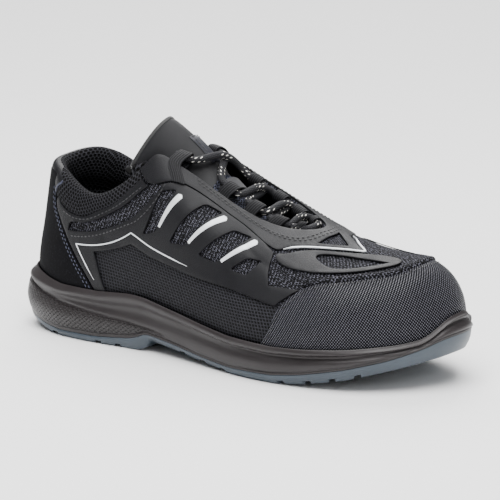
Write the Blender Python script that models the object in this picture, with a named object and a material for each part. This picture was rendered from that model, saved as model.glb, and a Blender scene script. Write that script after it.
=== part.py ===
"""Low-cut safety sneaker for the right foot, standing empty on its sole.

The toe points along +X, the medial side is +Y and the floor is Z = 0. The origin is on the
floor, in the middle of the heel tread. Every form hangs on one closed surface, the upper's:
a turn goes once round the foot line (0 at the heel back, then lateral, toe, medial), and a
rise goes from the foot line up to the collar and throat edge.
"""

import math

import bmesh
import bpy
import numpy as np
from mathutils import Vector
from mathutils.bvhtree import BVHTree

# Driving sizes, in metres.
SOLE_LENGTH = 0.306
BALL_WIDTH = 0.100
HEEL_HEIGHT = 0.100
HEEL_BACK = 0.064
UPPER_WALL = 0.0022
OVERLAY_WALL = 0.0012
RIM_LIP = 0.0028
GAP = 0.0003
TONGUE_THICK = 0.006
TONGUE_TUCK = 0.0012
EDGE_SLACK = 0.0025
COLLAR_END = 4.51
COLLAR_DEPTH = 0.006
COLLAR_ROLL = 0.0035
COLLAR_FRONT = 0.064
COLLAR_FADE = 0.020
SOLE_CORE = 0.0055
SOLE_CLEAR = 0.001
INSOLE_THICK = 0.004
INSOLE_INSET = 0.0012
STRAP_THICK = 0.001
STRAP_WIDTH = 0.008
FRONT_STRAP_WIDTH = 0.0045
STRAP_PAD = 0.06
LACE = 0.0044
LACE_STRAIGHT = 0.0013
EYE_CLEAR = 0.0007
BAR_BOW = 0.001
LACE_POINTS = 66
GROOVE_DEPTH = 0.0026
GROOVE_WIDTH = 0.0032
GROOVE_ZIG = 0.006
RIM_CLEAR = 0.0008
RIM_SINK = 0.05
CUT_FROM = -0.003
CUT_TO = 0.0065
COLLAR_FOOT = (0.95, 0.965, 0.99)
COLLAR_SLOPE = 0.97
STRAP_REST = UPPER_WALL + OVERLAY_WALL + 2 * GAP + STRAP_THICK / 2
STRAP_EDGE = 0.99
STRAP_TAIL = 0.0035
GROOVE_REACH = 0.65
GROOVE_BELOW = 0.005
UPPER_GRID = (48, 9)

# The line where the upper meets the insole board. Along is a share of SOLE_LENGTH, lateral
# and medial are half widths as shares of BALL_WIDTH, floor is a share of HEEL_HEIGHT.
# The toe tip drifts to the big-toe side, and the arch side draws in at the waist.
FOOT_LINE = (
    # place          along  lateral  medial  floor
    ("heel_back",    0.048, 0.000,  0.000,  0.27),
    ("heel_corner",  0.070, 0.195,  0.195,  0.27),
    ("heel_side",    0.165, 0.320,  0.315,  0.26),
    ("rear_waist",   0.290, 0.345,  0.305,  0.24),
    ("waist",        0.412, 0.370,  0.300,  0.21),
    ("instep",       0.530, 0.425,  0.360,  0.17),
    ("ball",         0.650, 0.475,  0.440,  0.145),
    ("tread_front",  0.770, 0.450,  0.455,  0.15),
    ("toe_corner",   0.885, 0.290,  0.365,  0.19),
    ("toe_tip",      0.957, -0.080, 0.080,  0.24),
)

# The collar and throat edge: along, ridge and half width, and height, as shares of the same.
TOP_LINE = (
    # place          along  lateral medial  lateral height, medial height
    ("heel_back",    0.078, 0.000,  0.000,  1.000, 1.000),
    ("heel_corner",  0.106, 0.190,  0.200,  0.980, 1.020),
    ("heel_side",    0.172, 0.280,  0.280,  0.895, 0.940),
    ("rear_waist",   0.235, 0.290,  0.290,  0.845, 0.850),
    ("waist",        0.305, 0.280,  0.270,  0.950, 0.930),
    ("instep",       0.375, 0.240,  0.230,  1.095, 1.080),
    ("ball",         0.465, 0.190,  0.205,  0.990, 1.010),
    ("tread_front",  0.565, 0.175,  0.210,  0.840, 0.875),
    ("toe_corner",   0.640, 0.110,  0.170,  0.765, 0.780),
    ("toe_tip",      0.682, -0.030, 0.030,  0.755, 0.755),
)

# Three rows of points between foot line and top line. In is a share of the way across in
# plan, out is a bulge square to the foot line as a share of BALL_WIDTH, up a share of the rise.
WALL = (
    # place          low: in out   up    mid: in  out   up    high: in  out   up
    ("heel_back",    0.00, 0.000,  0.20,  0.25, -0.015, 0.50,  0.65, -0.012, 0.80),
    ("heel_corner",  0.00, -0.002, 0.20,  0.25, -0.012, 0.50,  0.65, -0.008, 0.80),
    ("heel_side",    0.00, 0.008,  0.22,  0.25, 0.006, 0.50,  0.65, 0.008, 0.80),
    ("rear_waist",   0.00, 0.025,  0.22,  0.25, 0.030, 0.50,  0.65, 0.024, 0.80),
    ("waist",        0.00, 0.035,  0.20,  0.22, 0.050, 0.46,  0.62, 0.040, 0.78),
    ("instep",       0.00, 0.035,  0.18,  0.20, 0.050, 0.40,  0.60, 0.055, 0.76),
    ("ball",         0.00, 0.035,  0.18,  0.18, 0.040, 0.38,  0.56, 0.050, 0.72),
    ("tread_front",  0.00, 0.030,  0.22,  0.16, 0.025, 0.47,  0.58, 0.020, 0.76),
    ("toe_corner",   0.00, 0.022,  0.28,  0.12, 0.015, 0.58,  0.52, 0.000, 0.79),
    ("toe_tip",      0.00, 0.015,  0.30,  0.08, 0.012, 0.63,  0.48, 0.000, 0.835),
)

# How far each level of the sole stands out from the foot line, as shares of BALL_WIDTH.
SOLE_OUT = (
    # place          band   flare  edge   tread
    ("heel_back",    0.098, 0.110, 0.080, 0.030),
    ("heel_corner",  0.095, 0.112, 0.090, 0.050),
    ("heel_side",    0.060, 0.088, 0.085, 0.075),
    ("rear_waist",   0.055, 0.075, 0.070, 0.060),
    ("waist",        0.050, 0.055, 0.050, 0.030),
    ("instep",       0.050, 0.055, 0.048, 0.028),
    ("ball",         0.055, 0.060, 0.055, 0.040),
    ("tread_front",  0.055, 0.062, 0.058, 0.040),
    ("toe_corner",   0.065, 0.080, 0.075, 0.050),
    ("toe_tip",      0.070, 0.088, 0.085, 0.055),
)

# Heights along the sole, as shares of HEEL_HEIGHT: the rim on the upper, the widest level,
# the joint between midsole and outsole, and the tread edge.
SOLE_RISE = (
    # along  rim    band   flare  joint  tread
    (0.00,   0.375, 0.290, 0.190, 0.100, 0.045),
    (0.06,   0.365, 0.280, 0.190, 0.085, 0.022),
    (0.12,   0.330, 0.250, 0.185, 0.055, 0.004),
    (0.16,   0.312, 0.240, 0.180, 0.042, 0.000),
    (0.26,   0.315, 0.240, 0.170, 0.045, 0.000),
    (0.34,   0.337, 0.250, 0.165, 0.070, 0.000),
    (0.362,  0.337, 0.250, 0.165, 0.090, 0.005),
    (0.378,  0.335, 0.250, 0.165, 0.112, 0.030),
    (0.386,  0.333, 0.248, 0.165, 0.112, 0.072),
    (0.44,   0.303, 0.225, 0.160, 0.094, 0.050),
    (0.52,   0.262, 0.200, 0.140, 0.062, 0.022),
    (0.60,   0.228, 0.175, 0.120, 0.044, 0.000),
    (0.70,   0.217, 0.170, 0.120, 0.052, 0.000),
    (0.76,   0.224, 0.180, 0.140, 0.078, 0.018),
    (0.84,   0.243, 0.205, 0.175, 0.130, 0.065),
    (0.91,   0.268, 0.240, 0.215, 0.190, 0.125),
    (0.938,  0.280, 0.262, 0.240, 0.225, 0.150),
    (0.952,  0.300, 0.275, 0.255, 0.240, 0.165),
    (0.964,  0.370, 0.305, 0.268, 0.252, 0.175),
    (0.976,  0.420, 0.345, 0.280, 0.265, 0.190),
    (1.00,   0.430, 0.360, 0.310, 0.290, 0.215),
)

# The tongue from under the vamp to its top edge, in shares of SOLE_LENGTH, HEEL_HEIGHT and
# BALL_WIDTH: its sides drop below its middle, and lean back where it wraps the ankle.
TONGUE = (
    # along  height half   drop   lean
    (0.715,  0.660, 0.170, 0.030, 0.00),
    (0.650,  0.718, 0.230, 0.080, 0.00),
    (0.588,  0.800, 0.255, 0.110, 0.00),
    (0.552,  0.852, 0.260, 0.130, 0.00),
    (0.516,  0.915, 0.265, 0.170, 0.00),
    (0.477,  1.008, 0.270, 0.240, 0.02),
    (0.448,  1.098, 0.270, 0.330, 0.05),
    (0.414,  1.192, 0.270, 0.380, 0.08),
    (0.373,  1.268, 0.265, 0.370, 0.11),
    (0.337,  1.322, 0.255, 0.330, 0.14),
)

# The webbing straps that the lace runs through, from the toe up: the turn of the lateral edge
# where each leaves the throat, and its eye along, across and above the floor.
LACE_LOOPS = (
    # turn  along  lateral medial  lateral height, medial height
    (8.15, 0.657, 0.042, 0.095, 0.784, 0.797),
    (7.60, 0.615, 0.075, 0.120, 0.810, 0.835),
    (7.00, 0.567, 0.095, 0.135, 0.880, 0.900),
    (6.40, 0.510, 0.100, 0.135, 0.970, 0.985),
    (5.35, 0.408, 0.145, 0.150, 1.130, 1.125),
)

# Where the strands cross between one pair of straps and the next: along, and the height of
# the lower strand.
LACE_CROSSINGS = (
    (0.637, 0.778),
    (0.592, 0.835),
    (0.540, 0.920),
    (0.462, 1.085),
)

# Where the tread's grooves lie. The two flat pads, under the heel and under the ball, are
# between them.
GROOVES = (0.105, 0.150, 0.262, 0.310, 0.470, 0.520, 0.570, 0.710, 0.760, 0.810, 0.860)

# The raised overlays, as turns of the lateral side and the rises of their lower and upper
# edges. Where the lower edge is RIM the overlay runs down to the sole.
RIM = -1.0
TOE_GUARD = (
    # turn  low  high
    (6.28, RIM, 0.11),
    (6.58, RIM, 0.23),
    (6.85, RIM, 0.33),
    (7.18, RIM, 0.40),
    (7.48, RIM, 0.43),
    (8.00, RIM, 0.42),
    (8.60, RIM, 0.43),
)
HEEL_COUNTER = (
    (0.60, RIM, 0.93),
    (1.42, RIM, 0.93),
    (1.56, RIM, 0.82),
    (1.68, RIM, 0.72),
    (1.88, RIM, 0.63),
    (2.10, RIM, 0.51),
    (2.35, RIM, 0.35),
    (2.58, RIM, 0.21),
    (2.65, RIM, 0.17),
)
QUARTER = (
    (1.64, 0.80, 0.85),
    (1.72, 0.73, 0.84),
    (1.92, 0.64, 0.82),
    (2.14, 0.52, 0.81),
    (2.39, 0.36, 0.82),
    (2.62, 0.22, 0.85),
    (2.76, RIM, 0.87),
    (3.53, RIM, 0.91),
    (4.30, RIM, 0.93),
    (4.48, RIM, 0.86),
    (5.30, RIM, 0.86),
    (6.24, RIM, 0.85),
    (6.36, 0.15, 0.84),
    (6.58, 0.25, 0.82),
    (6.85, 0.35, 0.74),
    (6.98, 0.38, 0.56),
)
EYESTAY = (
    (4.55, 0.94, 0.985),
    (4.68, 0.88, 0.985),
    (5.50, 0.88, 0.985),
    (6.40, 0.87, 0.985),
    (6.83, 0.84, 0.985),
    (7.25, 0.78, 0.985),
    (7.80, 0.76, 0.985),
    (8.30, 0.74, 0.985),
    (8.62, 0.69, 0.985),
    (8.70, 0.70, 0.985),
    (8.82, 0.80, 0.985),
)
WING = (
    (7.00, 0.60, 0.62),
    (7.06, 0.57, 0.66),
    (7.24, 0.545, 0.70),
    (7.68, 0.51, 0.72),
    (8.12, 0.475, 0.70),
    (8.45, 0.475, 0.665),
    (8.62, 0.49, 0.64),
    (8.74, 0.53, 0.60),
)

# Openings in the overlays that show the mesh of the upper, in the same terms.
SIDE_MESH = (
    (2.98, RIM, 0.20),
    (3.02, RIM, 0.48),
    (3.75, RIM, 0.57),
    (4.10, RIM, 0.48),
    (5.23, RIM, 0.36),
    (6.08, RIM, 0.33),
    (6.55, RIM, 0.27),
)
COLLAR_MESH = (
    (2.20, 0.60, 0.68),
    (2.48, 0.63, 0.75),
    (3.10, 0.70, 0.82),
    (3.85, 0.75, 0.87),
    (4.50, 0.79, 0.86),
    (4.92, 0.835, 0.85),
)
VENTS = (
    ((4.38, 0.54, 0.60), (4.60, 0.50, 0.70), (4.88, 0.66, 0.74)),
    ((4.86, 0.50, 0.56), (5.08, 0.46, 0.69), (5.38, 0.66, 0.76)),
    ((5.30, 0.48, 0.54), (5.52, 0.45, 0.69), (5.84, 0.67, 0.77)),
    ((5.74, 0.47, 0.53), (5.96, 0.45, 0.68), (6.26, 0.66, 0.76)),
    ((6.18, 0.46, 0.52), (6.38, 0.45, 0.65), (6.62, 0.62, 0.71)),
)
WING_MESH = (
    (7.72, 0.56, 0.63),
    (7.85, 0.545, 0.67),
    (8.20, 0.51, 0.67),
    (8.45, 0.505, 0.64),
    (8.58, 0.52, 0.60),
)

STATIONS = len(FOOT_LINE)
TURNS = 2 * (STATIONS - 1)


def along(share):
    return share * SOLE_LENGTH - HEEL_BACK


def both_sides(lateral, medial):
    """One closed ring from a lateral and a medial half, each from heel to toe."""
    return np.array(list(lateral) + list(medial)[-2:0:-1], float)


def foot_ring():
    def side(sign, column):
        points = []
        for row in FOOT_LINE:
            points.append((along(row[1]), sign * row[column] * BALL_WIDTH, row[4] * HEEL_HEIGHT))
        return points

    return both_sides(side(-1, 2), side(1, 3))


def top_ring():
    def side(sign, column):
        points = []
        for row in TOP_LINE:
            points.append((along(row[1]), sign * row[column] * BALL_WIDTH, row[column + 2] * HEEL_HEIGHT))
        return points

    return both_sides(side(-1, 2), side(1, 3))


def outward(ring):
    """Unit plan normals of a closed ring, pointing away from the foot."""
    run = np.roll(ring, -1, 0) - np.roll(ring, 1, 0)
    normal = np.stack([run[:, 1], -run[:, 0], np.zeros(len(ring))], 1)
    return normal / np.linalg.norm(normal, axis=1)[:, None]


def ring_spline(values, turns):
    """A smooth closed curve through values, one at each whole turn, read at turns."""
    count = len(values)
    matrix = 4 * np.eye(count) + np.roll(np.eye(count), 1, 0) + np.roll(np.eye(count), -1, 0)
    bend = np.linalg.solve(matrix, 6 * (np.roll(values, -1, 0) - 2 * values + np.roll(values, 1, 0)))
    turns = np.asarray(turns, float) % count
    a = np.floor(turns).astype(int) % count
    b = (a + 1) % count
    t = (turns - np.floor(turns))[:, None]
    s = 1 - t
    return s * values[a] + t * values[b] + ((s**3 - s) * bend[a] + (t**3 - t) * bend[b]) / 6


def section_spline(knots, shares):
    """A smooth open curve through each section's knots, read at shares of its length."""
    steps = np.linalg.norm(np.diff(knots, axis=1), axis=2)
    place = np.concatenate([np.zeros((len(knots), 1)), np.cumsum(steps, 1)], 1)
    count = knots.shape[1]
    matrix = np.zeros((len(knots), count, count))
    right = np.zeros(knots.shape)
    matrix[:, 0, 0] = matrix[:, -1, -1] = 1
    for i in range(1, count - 1):
        h, k = steps[:, i - 1], steps[:, i]
        matrix[:, i, i - 1], matrix[:, i, i], matrix[:, i, i + 1] = h, 2 * (h + k), k
        ahead = (knots[:, i + 1] - knots[:, i]) / k[:, None]
        behind = (knots[:, i] - knots[:, i - 1]) / h[:, None]
        right[:, i] = 6 * (ahead - behind)
    bend = np.linalg.solve(matrix, right)
    at = shares * place[:, -1:]
    rows = np.arange(len(knots))[:, None]
    i = np.clip((at[:, :, None] >= place[:, None, 1:-1]).sum(2), 0, count - 2)
    h = steps[rows, i]
    t = (at - place[rows, i]) / h
    s, t, h = (1 - t)[:, :, None], t[:, :, None], h[:, :, None]
    curve = s * knots[rows, i] + t * knots[rows, i + 1]
    return curve + h**2 * ((s**3 - s) * bend[rows, i] + (t**3 - t) * bend[rows, i + 1]) / 6


def upper_knots():
    foot, top = foot_ring(), top_ring()
    out = outward(foot)
    wall = both_sides([row[1:] for row in WALL], [row[1:] for row in WALL])
    rise = (top - foot)[:, 2]
    rings = [foot]
    for inward, bulge, up in ((0, 1, 2), (3, 4, 5), (6, 7, 8)):
        ring = foot + wall[:, inward][:, None] * (top - foot) + out * wall[:, bulge][:, None] * BALL_WIDTH
        ring[:, 2] = foot[:, 2] + wall[:, up] * rise
        rings.append(ring)
    return np.stack(rings + [top], 1)


KNOTS = upper_knots()


def upper_surface(turns, rises, offset=0.0):
    """Points of the upper's form at turns (n) and rises (n, m), moved outwards by offset."""
    turns, rises = np.asarray(turns, float), np.asarray(rises, float)
    step = 1e-3

    def at(t, r):
        knots = np.stack([ring_spline(KNOTS[:, k], t) for k in range(KNOTS.shape[1])], 1)
        return section_spline(knots, r)

    centre = at(turns, rises)
    round_it = at(turns + step, rises) - at(turns - step, rises)
    up_it = at(turns, rises + step) - at(turns, rises - step)
    normal = np.cross(round_it, up_it)
    normal /= np.linalg.norm(normal, axis=2)[:, :, None]
    return centre + np.asarray(offset)[..., None] * normal


def new_object(name, vertices, faces, colour, roughness=0.6):
    mesh = bpy.data.meshes.new(name)
    mesh.from_pydata([tuple(v) for v in vertices], [], faces)
    mesh.validate()
    obj = bpy.data.objects.new(name, mesh)
    bpy.context.scene.collection.objects.link(obj)
    material = bpy.data.materials.new(name)
    material.use_nodes = True
    shader = material.node_tree.nodes["Principled BSDF"]
    shader.inputs["Base Color"].default_value = (*colour, 1)
    shader.inputs["Roughness"].default_value = roughness
    mesh.materials.append(material)
    mesh.shade_smooth()
    return obj


def closed_shell(name, inner, outer, colour):
    """A wall between two grids of points that both run once round the shoe. Its faces are
    triangles, split alike on every wall, so that one layer never dips into the next."""
    n, m, _ = outer.shape
    vertices = np.concatenate([outer.reshape(-1, 3), inner.reshape(-1, 3)])
    shift = n * m
    faces = []
    for i in range(n):
        j = (i + 1) % n
        for k in range(m - 1):
            a, b, c, d = i * m + k, j * m + k, j * m + k + 1, i * m + k + 1
            faces += [(a, b, c), (a, c, d)]
            faces += [(shift + c, shift + b, shift + a), (shift + d, shift + c, shift + a)]
        a, b = i * m, j * m
        faces.append((b, a, shift + a, shift + b))
        a, b = i * m + m - 1, j * m + m - 1
        faces.append((a, b, shift + b, shift + a))
    return new_object(name, vertices, faces, colour)


def ring_solid(name, loops, colour, across=2):
    """A solid between loops that each run once round the shoe from the heel back, closed
    above and below by strips laid across it. Its quads are split along their shorter
    diagonal, so that two solids that share a loop fit."""
    loops = [np.asarray(loop) for loop in loops]
    n = len(loops[0])
    half = n // 2
    vertices = [tuple(v) for loop in loops for v in loop]
    faces = []

    def split(a, b, c, d):
        if math.dist(vertices[a], vertices[c]) <= math.dist(vertices[b], vertices[d]):
            return [(a, b, c), (a, c, d)]
        return [(a, b, d), (b, c, d)]

    for k in range(len(loops) - 1):
        for i in range(n):
            j = (i + 1) % n
            faces += split(k * n + i, (k + 1) * n + i, (k + 1) * n + j, k * n + j)

    def lid(k, upward):
        rows = [[k * n]]
        for i in range(1, half):
            a, b = k * n + i, k * n + n - i
            row = [a]
            for step in range(1, across):
                share = step / across
                vertices.append(tuple((1 - share) * np.array(vertices[a]) + share * np.array(vertices[b])))
                row.append(len(vertices) - 1)
            rows.append(row + [b])
        rows.append([k * n + half])
        for one, two in zip(rows, rows[1:]):
            for step in range(across):
                if len(one) == 1:
                    pair = [(one[0], two[step], two[step + 1])]
                elif len(two) == 1:
                    pair = [(one[step], two[0], one[step + 1])]
                else:
                    pair = split(one[step], two[step], two[step + 1], one[step + 1])
                faces.extend(pair if upward else [face[::-1] for face in pair])

    lid(0, True)
    lid(len(loops) - 1, False)
    return new_object(name, vertices, faces, colour)


def sole_turns():
    """Turns for the sole's loops: even steps, with more of them at the heel breast."""
    side = list(np.linspace(0, 3.0, 13))
    side += [3.2, 3.4, 3.55, 3.63, 3.68, 3.74, 3.82]
    side += list(np.linspace(4, 9, 21))
    return np.array(side + [TURNS - t for t in side[-2:0:-1]])


def sole_loops():
    turns = sole_turns()
    foot = ring_spline(foot_ring(), turns)
    out = outward(ring_spline(foot_ring(), np.arange(720) * TURNS / 720))
    around = np.arange(721) * TURNS / 720
    columns = [np.interp(turns, around, np.append(out[:, k], out[0, k])) for k in range(3)]
    out = np.stack(columns, 1)
    reach = ring_spline(both_sides([row[1:] for row in SOLE_OUT], [row[1:] for row in SOLE_OUT]), turns)
    heights = np.array(SOLE_RISE)

    def level(column, share_out):
        loop = foot + out * share_out[:, None]
        share = (loop[:, 0] + HEEL_BACK) / SOLE_LENGTH
        loop[:, 2] = np.interp(share, heights[:, 0], heights[:, column]) * HEEL_HEIGHT
        return loop

    rim_out = np.full(len(turns), UPPER_WALL + GAP)
    inner = upper_at_height(turns, level(1, rim_out)[:, 2], UPPER_WALL + GAP)
    outer = inner + out * RIM_LIP
    floor = foot + out * (UPPER_WALL + GAP)
    floor[:, 2] -= SOLE_CLEAR
    band = level(2, reach[:, 0] * BALL_WIDTH)
    flare = level(3, reach[:, 1] * BALL_WIDTH)
    joint = level(4, reach[:, 2] * BALL_WIDTH)
    tread = level(5, reach[:, 3] * BALL_WIDTH)
    bed = level(4, np.full(len(turns), -GAP))
    bed[:, 2] = np.minimum(bed[:, 2], foot[:, 2] - SOLE_CORE)
    return floor, inner, outer, band, flare, joint, bed, tread


def upper_at_height(turns, heights, offset):
    """The point of the upper's outside at each turn that stands at the given height."""
    rises = np.tile(np.linspace(0, 0.5, 60), (len(turns), 1))
    points = upper_surface(turns, rises, offset)
    found = []
    for row, height in zip(points, heights):
        found.append([np.interp(height, row[:, 2], row[:, k]) for k in range(3)])
    return np.array(found)


def surface_tree(offset):
    """A search tree over the upper's form, moved outwards by offset."""
    n, m = 144, 40
    turns = np.arange(n) * TURNS / n
    points = upper_surface(turns, np.tile(np.linspace(0, 1, m), (n, 1)), offset)
    vertices = [tuple(v) for v in points.reshape(-1, 3)]
    faces = []
    for i in range(n):
        j = (i + 1) % n
        for k in range(m - 1):
            faces.append((i * m + k, j * m + k, j * m + k + 1, i * m + k + 1))
    return BVHTree.FromPolygons(vertices, faces), points[:, -1]


def tuck_inside(points, tree, edge, margin):
    """Points brought at least margin inside the surface in tree, where they lie under it."""
    moved = []
    for point in points:
        found, normal, _, _ = tree.find_nearest(point)
        to_edge = np.linalg.norm(edge - np.array(found), axis=1).min()
        depth = (Vector(point) - found).dot(normal)
        if to_edge > EDGE_SLACK and depth > -margin(found.x):
            point = tuple(found - normal * margin(found.x))
        moved.append(point)
    return moved


def inside_collar(point, edge, margin):
    """The point drawn in between the two sides of the collar where it stands among them."""
    if point[0] > COLLAR_FRONT:
        return point
    side = edge[edge[:, 1] * point[1] > 0] if point[1] else edge
    near = side[np.abs(side[:, 0] - point[0]).argmin()]
    if point[2] < near[2] + 2 * COLLAR_ROLL:
        point[1] = math.copysign(min(abs(point[1]), abs(near[1]) - margin), point[1])
    return point


def strip_solid(name, top, bottom, colour):
    """A padded sheet between two grids of points with free edges all round."""
    n, m, _ = top.shape
    vertices = np.concatenate([top.reshape(-1, 3), bottom.reshape(-1, 3)])
    shift = n * m
    faces = []
    for i in range(n - 1):
        for k in range(m - 1):
            a, b, c, d = i * m + k, i * m + k + 1, (i + 1) * m + k + 1, (i + 1) * m + k
            faces.append((a, b, c, d))
            faces.append((shift + d, shift + c, shift + b, shift + a))
    rim = [i * m for i in range(n)] + [(n - 1) * m + k for k in range(1, m)]
    rim += [i * m + m - 1 for i in range(n - 2, -1, -1)] + [k for k in range(m - 2, 0, -1)]
    for a, b in zip(rim, rim[1:] + rim[:1]):
        faces.append((a, b, shift + b, shift + a))
    obj = new_object(name, vertices, faces, colour)
    outward_faces(obj)
    return obj


def outward_faces(obj):
    mesh = bmesh.new()
    mesh.from_mesh(obj.data)
    bmesh.ops.recalc_face_normals(mesh, faces=mesh.faces)
    mesh.to_mesh(obj.data)
    mesh.free()


def open_spline(values, count):
    """A smooth curve through rows of values, read at count even steps of the rows."""
    values = np.asarray(values, float)
    last = len(values) - 1
    matrix = 4 * np.eye(last + 1) + np.eye(last + 1, k=1) + np.eye(last + 1, k=-1)
    matrix[0, :2] = matrix[-1, -2:] = 0
    matrix[0, 0] = matrix[-1, -1] = 1
    right = np.zeros(values.shape)
    right[1:-1] = 6 * (values[2:] - 2 * values[1:-1] + values[:-2])
    bend = np.linalg.solve(matrix, right)
    at = np.linspace(0, last, count)
    a = np.minimum(np.floor(at).astype(int), last - 1)
    t = (at - a)[:, None]
    s = 1 - t
    return s * values[a] + t * values[a + 1] + ((s**3 - s) * bend[a] + (t**3 - t) * bend[a + 1]) / 6


def make_tongue():
    rows = open_spline(TONGUE, 15)
    across = np.array([-1, -0.85, -0.6, -0.3, 0, 0.3, 0.6, 0.85, 1])
    grid = []
    for share, height, half, drop, lean in rows:
        row = []
        for part in across:
            fall = abs(part) ** 1.65 * drop * HEEL_HEIGHT
            back = abs(part) ** 1.3 * lean * HEEL_HEIGHT
            row.append((along(share) - back, part * half * BALL_WIDTH, height * HEEL_HEIGHT - fall))
        grid.append(row)
    top = np.array(grid)
    tree, edge = surface_tree(0)

    def margin(x):
        near_collar = np.clip((COLLAR_FRONT - x) / COLLAR_FADE, 0, 1)
        return TONGUE_TUCK + near_collar * COLLAR_DEPTH

    points = [inside_collar(np.array(v), edge, margin(v[0]) + 1.6 * TONGUE_TUCK) for v in top.reshape(-1, 3)]
    tucked = tuck_inside([tuple(v) for v in points], tree, edge, margin)
    top = np.array(tucked).reshape(top.shape)
    down = np.gradient(top, axis=0)
    side = np.gradient(top, axis=1)
    normal = np.cross(down, side)
    normal /= np.linalg.norm(normal, axis=2)[:, :, None]
    normal *= np.sign(normal[:, :, 2:3])
    bottom = top - normal * TONGUE_THICK
    return strip_solid("tongue", top, bottom, (0.03, 0.03, 0.03))


def mirrored(rows):
    """The same rows on the medial side, in rising turns."""
    return tuple((TURNS - row[0],) + tuple(row[1:]) for row in reversed(rows))


def patch_solid(
    name, rows, low_offset, high_offset, colour=(0.02, 0.02, 0.02), steps=1, across=2, sink=0.0
):
    """A closed block over the upper between two edges given as rows of turn, low and high rise."""
    rows = np.array(rows, float)
    spans = [np.linspace(a, b, steps + 1) for a, b in zip(rows[:-1, 0], rows[1:, 0])]
    turns = np.unique(np.concatenate(spans))
    low = np.interp(turns, rows[:, 0], rows[:, 1])
    rim = np.interp(turns % TURNS, *RIM_RISES)
    at_rim = np.interp(turns, rows[:, 0], rows[:, 1] == RIM) > 0.01
    low = np.where(at_rim, rim - sink, low)
    high = np.interp(turns, rows[:, 0], rows[:, 2])
    shares = np.linspace(0, 1, across + 1)
    rises = low[:, None] + (high - low)[:, None] * shares
    outer = upper_surface(turns, rises, high_offset)
    inner = upper_surface(turns, rises, low_offset)
    return strip_solid(name, outer, inner, colour)


def rim_rises():
    """Turns, and the rise at which the upper comes out of the sole's rim at each."""
    turns = sole_turns()
    heights = np.array(SOLE_RISE)
    rises = np.tile(np.linspace(0, 0.5, 60), (len(turns), 1))
    points = upper_surface(turns, rises, UPPER_WALL + GAP)
    found = []
    for row, shares in zip(points, rises):
        share = (row[:, 0] + HEEL_BACK) / SOLE_LENGTH
        rim = np.interp(share, heights[:, 0], heights[:, 1]) * HEEL_HEIGHT
        above = row[:, 2] - rim - RIM_CLEAR
        found.append(np.interp(0, above, shares))
    return np.append(turns, TURNS), np.append(found, found[0])


RIM_RISES = rim_rises()


def make_skin():
    """The layer that every overlay is cut from, one gap off the upper with the same facets."""
    n, m = UPPER_GRID
    turns = np.arange(n) * TURNS / n
    rises = np.tile(np.linspace(0, 1, m), (n, 1))
    base = UPPER_WALL + GAP
    outer = upper_surface(turns, rises, base + OVERLAY_WALL)
    inner = upper_surface(turns, rises, base)
    return closed_shell("skin", inner, outer, (0.02, 0.02, 0.02))


def cut_overlay(name, skin, rows, windows=(), colour=(0.03, 0.03, 0.03), folded=False):
    """An overlay: the skin within an outline, less its windows."""
    faces = [tuple(f.vertices) for f in skin.data.polygons]
    obj = new_object(name, [v.co for v in skin.data.vertices], faces, colour)
    tools = [(patch_solid(name + ".outline", rows, CUT_FROM, CUT_TO, steps=2, across=4), "INTERSECT")]
    for number, window in enumerate(windows):
        hole = patch_solid(f"{name}.window{number}", window, CUT_FROM, CUT_TO, sink=RIM_SINK)
        tools.append((hole, "DIFFERENCE"))
    for tool, operation in tools:
        tool.hide_render = True
        tool.display_type = "WIRE"
        modifier = obj.modifiers.new(operation.lower(), "BOOLEAN")
        modifier.operation = operation
        modifier.solver = "EXACT"
        modifier.use_self = folded
        modifier.object = tool
    return obj


def make_collar():
    """The padded cuff that caps the top edge from one eyestay round the heel to the other."""
    n, m = UPPER_GRID
    step = TURNS / n
    count = int(COLLAR_END / step)
    turns = np.arange(-count, count + 1) * step
    lift = COLLAR_ROLL
    fade = np.clip((COLLAR_END + 0.4 - np.abs(turns)) / 1.2, 0.25, 1)
    ledge = 1 - 1 / (m - 1)
    top = upper_surface(turns, np.full((len(turns), 1), 1.0))[:, 0]
    below = upper_surface(turns, np.full((len(turns), 1), COLLAR_SLOPE))[:, 0]
    up = (top - below) / np.linalg.norm(top - below, axis=1)[:, None]

    def ring(rise, offset, above=0.0):
        offsets = np.broadcast_to(np.asarray(offset, float), turns.shape)[:, None]
        flat = upper_surface(turns, np.full((len(turns), 1), rise), offsets)[:, 0]
        return flat + up * np.broadcast_to(above, turns.shape)[:, None]

    wall = UPPER_WALL
    deep = COLLAR_DEPTH * fade
    rings = [
        ring(COLLAR_FOOT[0], wall + GAP),
        ring(COLLAR_FOOT[1], wall + GAP + 0.0005),
        ring(COLLAR_FOOT[2], wall + GAP + 0.0009 * fade),
        ring(1.0, wall * 0.8, above=0.75 * lift * fade),
        ring(1.0, -0.15 * deep, above=lift * fade),
        ring(1.0, -0.75 * deep, above=0.5 * lift * fade),
        ring(0.96, -deep),
        ring(0.88, -deep),
        ring(0.80, -0.75 * deep),
        ring(0.74, -0.35 * deep),
        ring(0.70, -GAP - 0.0006),
        ring(0.70, -GAP),
        ring(0.80, -GAP),
        ring(ledge, -GAP),
        ring(1.0, -GAP, above=GAP),
        ring(1.0, wall + GAP, above=GAP),
    ]
    return tube_solid("collar", np.stack(rings, 1), (0.05, 0.05, 0.05))


def tube_solid(name, sections, colour):
    """A solid along a row of closed sections, capped at both ends."""
    n, m, _ = sections.shape
    vertices = sections.reshape(-1, 3)
    faces = []
    for i in range(n - 1):
        for k in range(m):
            l = (k + 1) % m
            faces.append((i * m + k, i * m + l, (i + 1) * m + l, (i + 1) * m + k))
    faces.append(tuple(range(m)))
    faces.append(tuple(range((n - 1) * m, n * m)))
    obj = new_object(name, vertices, faces, colour)
    outward_faces(obj)
    return obj


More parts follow.
